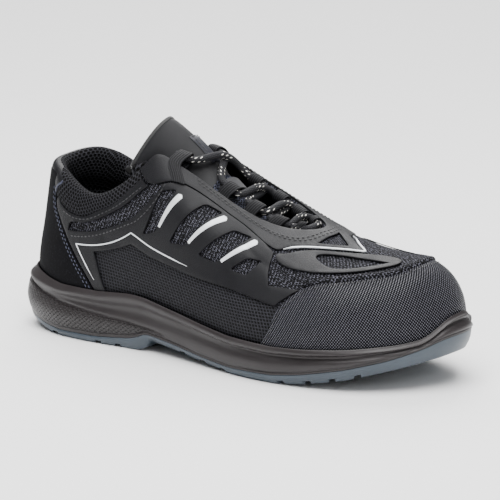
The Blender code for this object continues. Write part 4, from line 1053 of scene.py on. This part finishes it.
# Vamp wings: drop-shaped overlays of the same synthetic beside the front of the throat, each
# with a window onto the knit, bonded on. The medial one is smaller, thinner and set lower.
WING = [(6.98, 0.61), (7.07, 0.655), (7.24, 0.675), (7.68, 0.735), (8.05, 0.745), (8.38, 0.69), (8.60, 0.625),
        (8.72, 0.57), (8.76, 0.50), (8.66, 0.468), (8.30, 0.465), (7.88, 0.485), (7.35, 0.525), (7.03, 0.57)]
WING_WINDOW = [(7.74, 0.60), (7.78, 0.665), (7.95, 0.70), (8.22, 0.67), (8.42, 0.58), (8.55, 0.495),
               (8.55, 0.495), (8.28, 0.505), (7.92, 0.525), (7.78, 0.55)]
WING_TAIL = 6.98
WING_FOOT = 0.47
MEDIAL_LENGTH = 0.70
MEDIAL_HEIGHT = 0.62
MEDIAL_WING_WALL = 0.0005
make_panel("vamp_wing_lateral_synthetic", WING, [WING_WINDOW], smooth, "vamp_wing_lateral", "vamp_wing_lateral",
           spacing=1.6)
shapes = []
for line in (WING, WING_WINDOW):
    small = []
    for t, r in line:
        small.append((WING_TAIL + MEDIAL_LENGTH * (t - WING_TAIL), WING_FOOT + MEDIAL_HEIGHT * (r - WING_FOOT)))
    shapes.append(medial(small)[::-1])
make_panel("vamp_wing_medial_synthetic", shapes[0], shapes[1:], smooth, "vamp_wing_medial", "vamp_wing_medial",
           spacing=1.6, wall=MEDIAL_WING_WALL)

# Collar: foam 6 mm thick in black spacer mesh, turned over the top edge and stitched down
# inside. It bulges out above the quarter and the heel counter. The tab at its back is faced with
# smooth synthetic and edged with navy piping.
COLLAR_END = 4.51
COLLAR_DEPTH = 0.006
COLLAR_ROLL = 0.0035
COLLAR_SWELL = 0.0018
COLLAR_SEAT = UPPER_WALL + 0.00005
COLLAR_LOW = ((0.0, 0.90), (1.30, 0.90), (1.60, 0.80), (2.05, 0.75), (2.40, 0.755), (3.00, 0.84),
              (3.53, 0.87), (4.10, 0.895), (4.60, 0.93))
# The tab's half width in turns at the points of a section, from the lower edge to the roll's top.
TAB_EDGE = ((0, 1.50), (6, 1.53), (12, 1.60), (16, 1.70), (18, 1.74), (19, 0.0))
# The collar's own line is a fifth shorter than the line that the cloth is gauged on.
COLLAR_SHARE = 0.8
turns = np.linspace(-COLLAR_END, COLLAR_END, 241)
fade = np.clip((COLLAR_END + 0.4 - np.abs(turns)) / 1.2, 0.25, 1)
top = last_surface(turns, np.full((len(turns), 1), 1.0))[:, 0]
below = last_surface(turns, np.full((len(turns), 1), 0.97))[:, 0]
up = unit(top - below)
skirt = np.interp(np.abs(turns), *zip(*COLLAR_LOW))


def collar_ring(rise, offset, above=0.0):
    rise = np.broadcast_to(np.asarray(rise, float), turns.shape)
    offset = np.broadcast_to(np.asarray(offset, float), turns.shape)
    ring = last_surface(turns, rise[:, None], offset[:, None])[:, 0]
    return ring + up * np.broadcast_to(above, turns.shape)[:, None]


def round_section(width, height):
    """A cord's section from half its width and half its height."""
    return [(width * math.sin(a), height * math.cos(a)) for a in np.linspace(0, 2 * math.pi, 9)[:-1]]


deep = COLLAR_DEPTH * fade
swell = COLLAR_SWELL * np.clip((0.92 - skirt) / 0.1, 0.25, 1)
knots = np.stack([
    collar_ring(skirt, UPPER_WALL + 0.0001),
    collar_ring(skirt * 0.75 + 0.25, UPPER_WALL + 0.0004 + 0.75 * swell),
    collar_ring(skirt * 0.4 + 0.6, UPPER_WALL + 0.0006 + swell),
    collar_ring(1.0, UPPER_WALL * 0.9 + 0.5 * swell, 0.55 * COLLAR_ROLL * fade),
    collar_ring(1.0, -0.15 * deep, COLLAR_ROLL * fade),
    collar_ring(1.0, -0.75 * deep, 0.5 * COLLAR_ROLL * fade),
    collar_ring(0.96, -deep),
    collar_ring(0.88, -deep),
    collar_ring(0.80, -0.75 * deep),
    collar_ring(0.74, -0.35 * deep),
    collar_ring(0.70, -GAP - 0.0004),
], 1)
outer = section_spline(knots, np.tile(np.linspace(0, 1, 60), (len(turns), 1)))
inner = [collar_ring(0.70, -GAP), collar_ring(0.85, -GAP), collar_ring(0.985, -GAP),
         collar_ring(0.998, -GAP, 0.0003), collar_ring(0.998, COLLAR_SEAT, 0.0003),
         collar_ring(skirt * 0.5 + 0.5, COLLAR_SEAT)]
sections = np.concatenate([outer, np.stack(inner, 1)], 1)
n, m, _ = sections.shape
travel = np.stack([run_along(section) for section in sections])
reach = np.linspace(-5, 5, 101)
reach_run = np.interp(reach % TURNS, GAUGE_TURNS, GAUGE_RUN) - GAUGE_RUN[-1] * (reach < 0)
run = np.interp(turns, reach, reach_run)
flat = np.stack([np.repeat(run, m) * COLLAR_SHARE, travel.ravel()], 1)
collar = new_mesh("collar_padding", sections.reshape(-1, 3), tube_faces(n, m), [spacer, smooth], flat)
tab_edge = np.interp(np.arange(m), *zip(*TAB_EDGE))
middles = np.abs((turns[:-1] + turns[1:]) / 2)
kinds = (middles[:, None] < tab_edge[None, :]).astype(int).ravel()
collar.data.polygons.foreach_set("material_index", list(kinds) + [0, 0])
face_outwards(collar)
finish_piece(collar, "collar", "collar", angle=60)
tab_rows = np.arange(1, 19)
for side, word in ((-1, "medial"), (1, "lateral")):
    places = (side * tab_edge[tab_rows] + COLLAR_END) / (2 * COLLAR_END) * (n - 1)
    spots = [(int(round(i)), k) for i, k in zip(places, tab_rows)]
    path = np.array([sections[i, k] for i, k in spots])
    path[1:-1] = (path[:-2] + path[1:-1] + path[2:]) / 3
    normals = []
    for i, k in spots:
        climb = np.gradient(sections[i], axis=0)[k]
        normals.append(np.cross(climb, sections[i + 1, k] - sections[i - 1, k]))
    normals = unit(np.array(normals))
    outside = np.sign((normals * (path - sections.reshape(-1, 3).mean(0))).sum(1).sum())
    cord = round_section(0.0007, 0.0005)
    piping = sweep(f"tab_piping_{word}", path, normals * outside, cord, 1.0, threads["navy_thread"])
    finish_piece(piping, "collar")

# Tongue: 6 mm of foam, faced with blue-grey knit under the lacing and smooth synthetic above it
# and lined with spacer mesh. It has a bound edge, a plain sewn patch, and a charcoal webbing
# keeper for the lace.
TONGUE = (
    # along  height half   drop   lean
    (0.715,  0.660, 0.170, 0.030, 0.00),
    (0.650,  0.718, 0.230, 0.080, 0.00),
    (0.588,  0.800, 0.255, 0.110, 0.00),
    (0.552,  0.852, 0.260, 0.130, 0.00),
    (0.516,  0.915, 0.265, 0.170, 0.00),
    (0.477,  1.008, 0.270, 0.240, 0.02),
    (0.448,  1.098, 0.270, 0.330, 0.05),
    (0.414,  1.192, 0.270, 0.380, 0.08),
    (0.373,  1.276, 0.268, 0.365, 0.11),
    (0.337,  1.338, 0.262, 0.325, 0.14),
)
TONGUE_THICK = 0.006
TONGUE_TUCK = 0.0012
EDGE_SLACK = 0.0025
COLLAR_FRONT = 0.064
COLLAR_FADE = 0.020
KNIT_ROWS = 52
CLOTH_HALF = 0.026
# The binding starts at this share of the tongue's length, runs on for this share, and lies here
# across it.
BIND_START = 0.60
BIND_RUN = 0.385
BIND_SIDE = 0.98
PATCH_SIZE = (12, 17)
PATCH_SEAM = ((0.676, -0.06), (0.824, -0.06), (0.824, 0.46), (0.676, 0.46))
KEEPER_PLACE = 0.515
KEEPER_ENDS = (-0.30, 0.34)


def open_spline(values, count):
    """A smooth curve through rows of values, read at count even steps of the rows."""
    values = np.asarray(values, float)
    last = len(values) - 1
    matrix = 4 * np.eye(last + 1) + np.eye(last + 1, k=1) + np.eye(last + 1, k=-1)
    matrix[0, :2] = matrix[-1, -2:] = 0
    matrix[0, 0] = matrix[-1, -1] = 1
    right = np.zeros(values.shape)
    right[1:-1] = 6 * (values[2:] - 2 * values[1:-1] + values[:-2])
    bend = np.linalg.solve(matrix, right)
    at = np.linspace(0, last, count)
    a = np.minimum(np.floor(at).astype(int), last - 1)
    t = (at - a)[:, None]
    s = 1 - t
    return s * values[a] + t * values[a + 1] + ((s**3 - s) * bend[a] + (t**3 - t) * bend[a + 1]) / 6


n, m = 144, 40
form = last_surface(np.arange(n) * TURNS / n, np.tile(np.linspace(0, 1, m), (n, 1)), 0.0)
form_tree = BVHTree.FromPolygons([tuple(v) for v in form.reshape(-1, 3)], shell_faces(n, m))
form_edge = form[:, -1]


def tongue_margin(x):
    return TONGUE_TUCK + np.clip((COLLAR_FRONT - x) / COLLAR_FADE, 0, 1) * COLLAR_DEPTH


def settle(point):
    """A point of the tongue drawn between the collar's sides and under the throat's edge."""
    margin = tongue_margin(point[0])
    if point[0] < COLLAR_FRONT:
        side = form_edge[form_edge[:, 1] * point[1] > 0] if point[1] else form_edge
        near = side[np.abs(side[:, 0] - point[0]).argmin()]
        if point[2] < near[2] + 2 * COLLAR_ROLL:
            point[1] = math.copysign(min(abs(point[1]), abs(near[1]) - margin - 1.6 * TONGUE_TUCK), point[1])
    found, normal, _, _ = form_tree.find_nearest(Vector(point))
    to_edge = np.linalg.norm(form_edge - np.array(found), axis=1).min()
    depth = (Vector(point) - found).dot(normal)
    if to_edge > EDGE_SLACK and depth > -tongue_margin(found.x):
        point = np.array(found - normal * tongue_margin(found.x))
    return point


n, m = 91, 45
across = np.linspace(-1, 1, m)
grid = []
for share, height, half, drop, lean in open_spline(TONGUE, n):
    for part in across:
        fall = abs(part) ** 1.65 * drop * HEEL_HEIGHT
        back = abs(part) ** 1.3 * lean * HEEL_HEIGHT
        spot = np.array([along(share) - back, part * half * BALL_WIDTH, height * HEEL_HEIGHT - fall])
        grid.append(settle(spot))
sheet = np.array(grid).reshape(n, m, 3)
for _ in range(8):
    sheet[1:-1, [0, -1]] = 0.5 * sheet[1:-1, [0, -1]] + 0.25 * (sheet[:-2, [0, -1]] + sheet[2:, [0, -1]])
    inner = sheet[1:-1, 1:-1]
    around = sheet[:-2, 1:-1] + sheet[2:, 1:-1] + sheet[1:-1, :-2] + sheet[1:-1, 2:]
    sheet[1:-1, 1:-1] = 0.5 * inner + 0.125 * around
normal = unit(np.cross(np.gradient(sheet, axis=0), np.gradient(sheet, axis=1)))
normal *= np.sign(normal[:, :, 2:3])
down = np.linspace(-1, 1, n)[:, None]
puff = np.sqrt(np.clip((1 - np.abs(across[None, :]) ** 12) * (1 - np.abs(down) ** 26), 0, 1)) * TONGUE_THICK / 2
core = sheet - normal * TONGUE_THICK / 2
tongue_top = core + normal * puff[:, :, None]
tongue_low = core - normal * puff[:, :, None]
points = np.concatenate([tongue_top.reshape(-1, 3), tongue_low.reshape(-1, 3)])
faces, kinds = [], []
for i in range(n - 1):
    for k in range(m - 1):
        a, b, c, d = i * m + k, i * m + k + 1, (i + 1) * m + k + 1, (i + 1) * m + k
        faces += [(a, b, c, d), (n * m + d, n * m + c, n * m + b, n * m + a)]
        kinds += [0 if i < KNIT_ROWS else 1, 2]
flat = np.stack([np.repeat(run_along(sheet[:, m // 2]), m), np.tile(across * CLOTH_HALF, n)], 1)

# Tongue knit: the upper's yarn in a blue-grey tone, with a finer cell of 1.8 mm.
# Its holes are painted near-black: partly the lining behind and partly painted shade.
tongue_knit = open_fabric("blue_grey_knit", "#1e2028", 0.8, 0.12, pitch=(0.0018, 0.0024),
                          rim=(0.16, 0.36), hole="#030305", yarns=("#17181f", "#494c5c"),
                          fleck=(900.0, 0.4, 0.62), bump=(0.0005, 0.9))
cloths = [tongue_knit, smooth, spacer]
tongue = new_mesh("tongue_padding", points, faces, cloths, np.concatenate([flat, flat]))
tongue.data.polygons.foreach_set("material_index", kinds)
face_outwards(tongue, merge=0.00002)
finish_piece(tongue, "tongue", "tongue", angle=60)


def on_tongue(row, column, lift=0.0):
    """A point and normal on the tongue's face, at shares of its length and half width."""
    i, k = row * (n - 1), (column + 1) / 2 * (m - 1)
    a, b = min(int(i), n - 2), min(int(k), m - 2)
    s, t = i - a, k - b
    weights = ((a, b, (1 - s) * (1 - t)), (a + 1, b, s * (1 - t)), (a, b + 1, (1 - s) * t),
               (a + 1, b + 1, s * t))
    point = sum(w * tongue_top[x, y] for x, y, w in weights)
    up = unit(sum(w * normal[x, y] for x, y, w in weights))
    return point + up * lift, up


def split(places):
    """The points and the normals of a line laid on the tongue."""
    return np.array([point for point, _ in places]), np.array([up for _, up in places])


bind_end = BIND_START + BIND_RUN
shares = np.linspace(0, 1, 40)
binding = [on_tongue(BIND_START + BIND_RUN * t, -BIND_SIDE) for t in shares]
binding += [on_tongue(bind_end, -BIND_SIDE + 2 * BIND_SIDE * t) for t in np.linspace(0.04, 0.96, 40)]
binding += [on_tongue(bind_end - BIND_RUN * t, BIND_SIDE) for t in shares]
bound = sweep("tongue_binding", *split(binding), round_section(0.0014, 0.0009), 1.0, threads["black_thread"])
finish_piece(bound, "tongue")

# Satin patch: a dark blue-grey woven piece with a dull shine.
satin = grained("satin_patch", "#24252e", 0.42, {"Specular IOR Level": 0.3}, 1300.0, 2.0,
                "#15161c", "#25262f", (0.0001, 0.5))[0]
patch_rows = np.linspace(0.668, 0.832, PATCH_SIZE[0])
patch_columns = np.linspace(-0.10, 0.50, PATCH_SIZE[1])
points = []
for row in patch_rows:
    for column in patch_columns:
        end_gap = min(row - patch_rows[0], patch_rows[-1] - row) / 0.015
        side_gap = min(column - patch_columns[0], patch_columns[-1] - column) / 0.04
        points.append(on_tongue(row, column, 0.0002 + 0.0008 * min(1, end_gap, side_gap))[0])
faces = []
for i in range(PATCH_SIZE[0] - 1):
    for k in range(PATCH_SIZE[1] - 1):
        a, b = i * PATCH_SIZE[1] + k, (i + 1) * PATCH_SIZE[1] + k
        faces.append((a, a + 1, b + 1, b))
patch = new_mesh("tongue_patch", points, faces, [satin])
thick = patch.modifiers.new("wall", "SOLIDIFY")
thick.thickness = 0.0006
thick.offset = 0
finish_piece(patch, "tongue")
border = []
for (r1, c1), (r2, c2) in zip(PATCH_SEAM, PATCH_SEAM[1:] + PATCH_SEAM[:1]):
    shares = np.linspace(0, 1, 12)
    border.append(split([on_tongue(r1 + (r2 - r1) * t, c1 + (c2 - c1) * t, 0.0013) for t in shares]))
sew("tongue_patch_stitches", border, threads["charcoal_thread"], "tongue", 0.0)
keeper = []
for column in np.linspace(*KEEPER_ENDS, 33):
    ends = (column - KEEPER_ENDS[0]) / 0.1, (KEEPER_ENDS[1] - column) / 0.1
    keeper.append(on_tongue(KEEPER_PLACE, column, 0.0002 + 0.0016 * min(1, *ends)))
tape = [(0.0045, 0), (0.0042, 0.0005), (-0.0042, 0.0005), (-0.0045, 0), (-0.0042, -0.0003), (0.0042, -0.0003)]
keeper = sweep("tongue_keeper", *split(keeper), tape, 1.0, threads["charcoal_thread"])
finish_piece(keeper, "tongue")

# Lace straps: ribbed 8 mm webbing folded round the lace. The four lower pairs come out from
# under the throat's edge, and the top pair lies on the eyestay and goes in through a slot.
STRAP_THICK = 0.001
STRAP_WIDTH = 0.008
FRONT_STRAP_WIDTH = 0.0045
LACE = 0.0044
LACE_STRAIGHT = 0.0013
EYE_CLEAR = 0.0007
BAR_BOW = 0.001
TAIL_SHORT = 0.0035
RIB_PITCH = 0.0014
STRAP_ROWS = 34
STRAP_COLUMNS = 9
LACE_LOOPS = (
    # turn  along  lateral medial  lateral height, medial height
    (8.15, 0.657, 0.042, 0.095, 0.784, 0.797),
    (7.60, 0.615, 0.075, 0.120, 0.810, 0.835),
    (7.00, 0.567, 0.095, 0.135, 0.880, 0.900),
    (6.40, 0.510, 0.100, 0.135, 0.970, 0.985),
    (5.35, 0.408, 0.145, 0.150, 1.130, 1.125),
)
LACE_CROSSINGS = ((0.637, 0.778), (0.592, 0.835), (0.540, 0.920), (0.462, 1.085))
strap_lift = OVERLAY_TOP + GAP + STRAP_THICK / 2

# Ribbed webbing: black polyester with ribs 1.4 mm apart along the strap, drawn a little coarser
# than real, painted near-black between them as painted shade.
webbing, tree, shader = new_material("ribbed_webbing", "#0a0a0c", 0.65, {"Specular IOR Level": 0.2})
cloth = add_node(tree, "UVMap", uv_map="cloth")
across_it = add_node(tree, "SeparateXYZ", {0: cloth}, "Y")
ribs = add_node(tree, "Math", {0: across_it, 1: 2 * math.pi / RIB_PITCH}, operation="MULTIPLY")
ribs = {"Value": add_node(tree, "Math", {0: ribs}, operation="SINE"), "From Min": -0.6, "From Max": 0.8}
ribs = add_node(tree, "MapRange", ribs, interpolation_type="SMOOTHSTEP")
fine = add_node(tree, "TexNoise", {"Vector": cloth, "Scale": 1100.0, "Detail": 1.0})
tone = {"Factor": fine, 6: linear("#0d0d0f"), 7: linear("#29292e")}
tone = {"Factor": ribs, 6: linear("#040405"), 7: add_node(tree, "Mix", tone, 2, data_type="RGBA")}
wire(tree, shader, {"Base Color": add_node(tree, "Mix", tone, 2, data_type="RGBA"),
                    "Normal": add_node(tree, "Bump", {"Height": ribs, "Distance": 0.0005, "Strength": 1.0})})


def throat_frame(turn, side):
    """Where a strap leaves the throat edge, and the unit run of the edge towards the ankle."""
    turn = turn if side < 0 else TURNS - turn
    step = 0.05
    around = np.array([turn, turn - step, turn + step])
    edge, before, after = last_surface(around, np.ones((3, 1)), strap_lift)[:, 0]
    run = after - before
    pace = np.linalg.norm(run) / (2 * step)
    return turn, edge, unit(run) * (1 if run[0] < 0 else -1), pace


def strap_width(number):
    return STRAP_WIDTH if number else FRONT_STRAP_WIDTH


def lace_eyes(side):
    column = 2 if side < 0 else 3
    eyes = []
    for row in LACE_LOOPS:
        eyes.append(np.array([along(row[1]), side * row[column] * BALL_WIDTH, row[column + 2] * HEEL_HEIGHT]))
    return eyes


for side, word in ((-1, "lateral"), (1, "medial")):
    for number, eye in enumerate(lace_eyes(side)):
        turn, edge, run, pace = throat_frame(LACE_LOOPS[number][0], side)
        across_it = eye - edge
        across_it = unit(across_it - run * across_it.dot(run))
        up = np.cross(run, across_it)
        up *= np.sign(up[2])
        radius = LACE / 2 + EYE_CLEAR + STRAP_THICK / 2
        tail = (eye - edge).dot(across_it) - TAIL_SHORT
        columns = []
        for step in np.linspace(-0.5, 0.5, STRAP_COLUMNS):
            place = turn + step * strap_width(number) / pace
            if number == len(LACE_LOOPS) - 1:
                pad = last_surface([place] * 3, [[0.865], [0.93], [0.99]], strap_lift)[:, 0]
            else:
                pad = last_surface([place] * 3, [[0.93], [0.965], [1.0]], -0.0008)[:, 0]
            reach = last_surface([place], [[0.99]], strap_lift)[0, 0]
            centre = eye + run * (reach - edge).dot(run)
            column = list(pad)
            for degrees in (100, 60, 20, -20, -60, -95):
                angle = math.radians(degrees)
                column.append(centre + radius * (math.cos(angle) * across_it + math.sin(angle) * up))
            column.append(centre - radius * up - tail * across_it)
            columns.append(column)
        shares = np.tile(np.linspace(0, 1, STRAP_ROWS), (STRAP_COLUMNS, 1))
        middle = section_spline(np.array(columns), shares).transpose(1, 0, 2)
        face = unit(np.cross(np.gradient(middle, axis=0), np.gradient(middle, axis=1)))
        face *= np.sign(face[8, 4, 2]) if number < 4 else np.sign(face[0, 4, 2])
        crown = (1 - np.linspace(-1, 1, STRAP_COLUMNS) ** 4)[None, :, None] * 0.5 + 0.5
        upper_side = middle + face * STRAP_THICK / 2 * crown
        lower_side = middle - face * STRAP_THICK / 2 * crown
        ring = np.concatenate([upper_side, lower_side[:, ::-1]], 1)
        count = ring.shape[1]
        width_at = np.concatenate([np.linspace(0, 1, STRAP_COLUMNS), np.linspace(1, 0, STRAP_COLUMNS)])
        travel = run_along(middle[:, 4])
        flat = np.stack([np.repeat(travel, count), np.tile(width_at * strap_width(number), STRAP_ROWS)], 1)
        strap = new_mesh(f"strap_{word}_{number + 1}_webbing", ring.reshape(-1, 3),
                         tube_faces(STRAP_ROWS, count), [webbing], flat)
        face_outwards(strap)
        node = f"lace_strap_{word}_{number + 1}"
        finish_piece(strap, node, node, angle=50)

# Lace: 4.4 mm round braided polyester, black with short light tracer flecks in groups. It runs
# from the lateral top strap down through every loop, across the toe-end bar and back up.
BEAT = 0.0175
eyes = {-1: lace_eyes(-1), 1: lace_eyes(1)}
runs = {side: [throat_frame(row[0], side)[2] for row in LACE_LOOPS] for side in eyes}
reach = [strap_width(number) / 2 + LACE_STRAIGHT for number in range(len(LACE_LOOPS))]
upwards = list(range(len(LACE_LOOPS)))
route = []
side = -1
for down, order in ((True, upwards[::-1]), (False, upwards)):
    for number in order:
        eye, run = eyes[side][number], runs[side][number] * reach[number]
        route += [eye + run, eye, eye - run] if down else [eye - run, eye, eye + run]
        crossing = number - 1 if down else number
        if crossing in range(len(LACE_CROSSINGS)):
            share, height = LACE_CROSSINGS[crossing]
            centre = (eyes[-1][crossing][1] + eyes[1][crossing][1]) / 2
            over = LACE + 2 * GAP if number % 2 == 0 else 0
            route.append(np.array([along(share), centre, height * HEEL_HEIGHT + over]))
            side = -side
    if down:
        bar = (eyes[-1][0] + eyes[1][0]) / 2 - (runs[-1][0] + runs[1][0]) * reach[0] / 2
        route.append(bar + np.array([BAR_BOW, 0, 0]))
        side = -side
path = section_spline(np.array([route]), np.linspace(0, 1, 420)[None])[0]
braid, tree, shader = new_material("braided_cord", "#0d0d0f", 0.7, {"Specular IOR Level": 0.3})
cloth = add_node(tree, "UVMap", uv_map="cloth")
strands = {"Value": cell_pattern(tree, cloth, 0.0022, 0.0014), "From Min": 0.1, "From Max": 0.42,
           "To Min": 1.0, "To Max": 0.0}
strands = add_node(tree, "MapRange", strands, interpolation_type="SMOOTHSTEP")
length = add_node(tree, "SeparateXYZ", {0: cloth}, "X")
beat = add_node(tree, "Math", {0: length, 1: 1 / BEAT}, operation="MULTIPLY")
beat = add_node(tree, "Math", {0: beat}, operation="FRACT")
group = {"Value": beat, "From Min": 0.56, "From Max": 0.60}
group = add_node(tree, "MapRange", group, interpolation_type="SMOOTHSTEP")
slant = add_node(tree, "Mapping", {"Vector": cloth, "Rotation": (0, 0, 0.45)})
longer = add_node(tree, "VectorMath", {0: slant, 1: (0.36, 1, 1)}, operation="MULTIPLY")
dash = {"Value": cell_pattern(tree, longer, 0.0019, 0.0030), "From Min": 0.14, "From Max": 0.19,
        "To Min": 1.0, "To Max": 0.0}
dash = add_node(tree, "MapRange", dash, interpolation_type="SMOOTHSTEP")
tracer = add_node(tree, "Math", {0: dash, 1: group}, operation="MULTIPLY")
# The gaps between the strands are painted near-black, painted shade.
tone = {"Factor": strands, 6: linear("#050506"), 7: linear("#242428")}
tone = {"Factor": tracer, 6: add_node(tree, "Mix", tone, 2, data_type="RGBA"), 7: linear("#ebe8e0")}
wire(tree, shader, {"Base Color": add_node(tree, "Mix", tone, 2, data_type="RGBA"),
                    "Normal": add_node(tree, "Bump", {"Height": strands, "Distance": 0.0004, "Strength": 1.0})})
circle = [(LACE / 2 * math.sin(a), -LACE / 2 * math.cos(a)) for a in np.linspace(0, 2 * math.pi, 17)[:-1]]
lace = sweep("lace_cord", path, np.tile([0.0, 0.0, 1.0], (len(path), 1)), circle, 1.0, braid)
finish_piece(lace, "lace", "lace", angle=60)

# Studio: a plain pale floor, one large soft light above and two fills, and the camera that
# was fitted to the photograph.
LIGHTS = (
    # name   place               size power
    ("key",  (0.25, -0.35, 1.6), 1.5, 70),
    ("fill", (1.3, -0.9, 0.8),   0.8, 5),
    ("back", (-1.3, 2.0, 2.6),   2.5, 160),
)
paper = new_material("paper_floor", "#f4f4f4", 0.9)[0]
bpy.ops.mesh.primitive_plane_add(size=12, location=(0, 0, 0))
ground = bpy.context.active_object
ground.name = "floor"
ground.data.materials.append(paper)
world = bpy.data.worlds.new("studio")
bpy.context.scene.world = world
world.use_nodes = True
world.node_tree.nodes["Background"].inputs["Color"].default_value = (1, 1, 1, 1)
world.node_tree.nodes["Background"].inputs["Strength"].default_value = 0.3
for name, place, size, power in LIGHTS:
    light = bpy.data.objects.new(name, bpy.data.lights.new(name, "AREA"))
    light.data.size = size
    light.data.energy = power
    light.location = place
    light.rotation_euler = (Vector((0.09, 0, 0.05)) - Vector(place)).to_track_quat("-Z", "Y").to_euler()
    bpy.context.scene.collection.objects.link(light)
camera = bpy.data.objects.new("camera", bpy.data.cameras.new("camera"))
azimuth, elevation, distance = math.radians(36), math.radians(12.5), 1.30
target = Vector((0.095, 0, 0.055))
flat_aim = math.cos(elevation)
aim = Vector((math.sin(azimuth) * flat_aim, -math.cos(azimuth) * flat_aim, math.sin(elevation)))
camera.location = target + aim * distance
camera.rotation_euler = (-aim).to_track_quat("-Z", "Y").to_euler()
camera.data.sensor_width = 36
camera.data.lens = 2234 / 500 * 36
camera.data.shift_x = (250 - 246.33) / 500
camera.data.shift_y = (257.66 - 250) / 500
camera.data.clip_start = 0.05
bpy.context.scene.collection.objects.link(camera)
bpy.context.scene.camera = camera
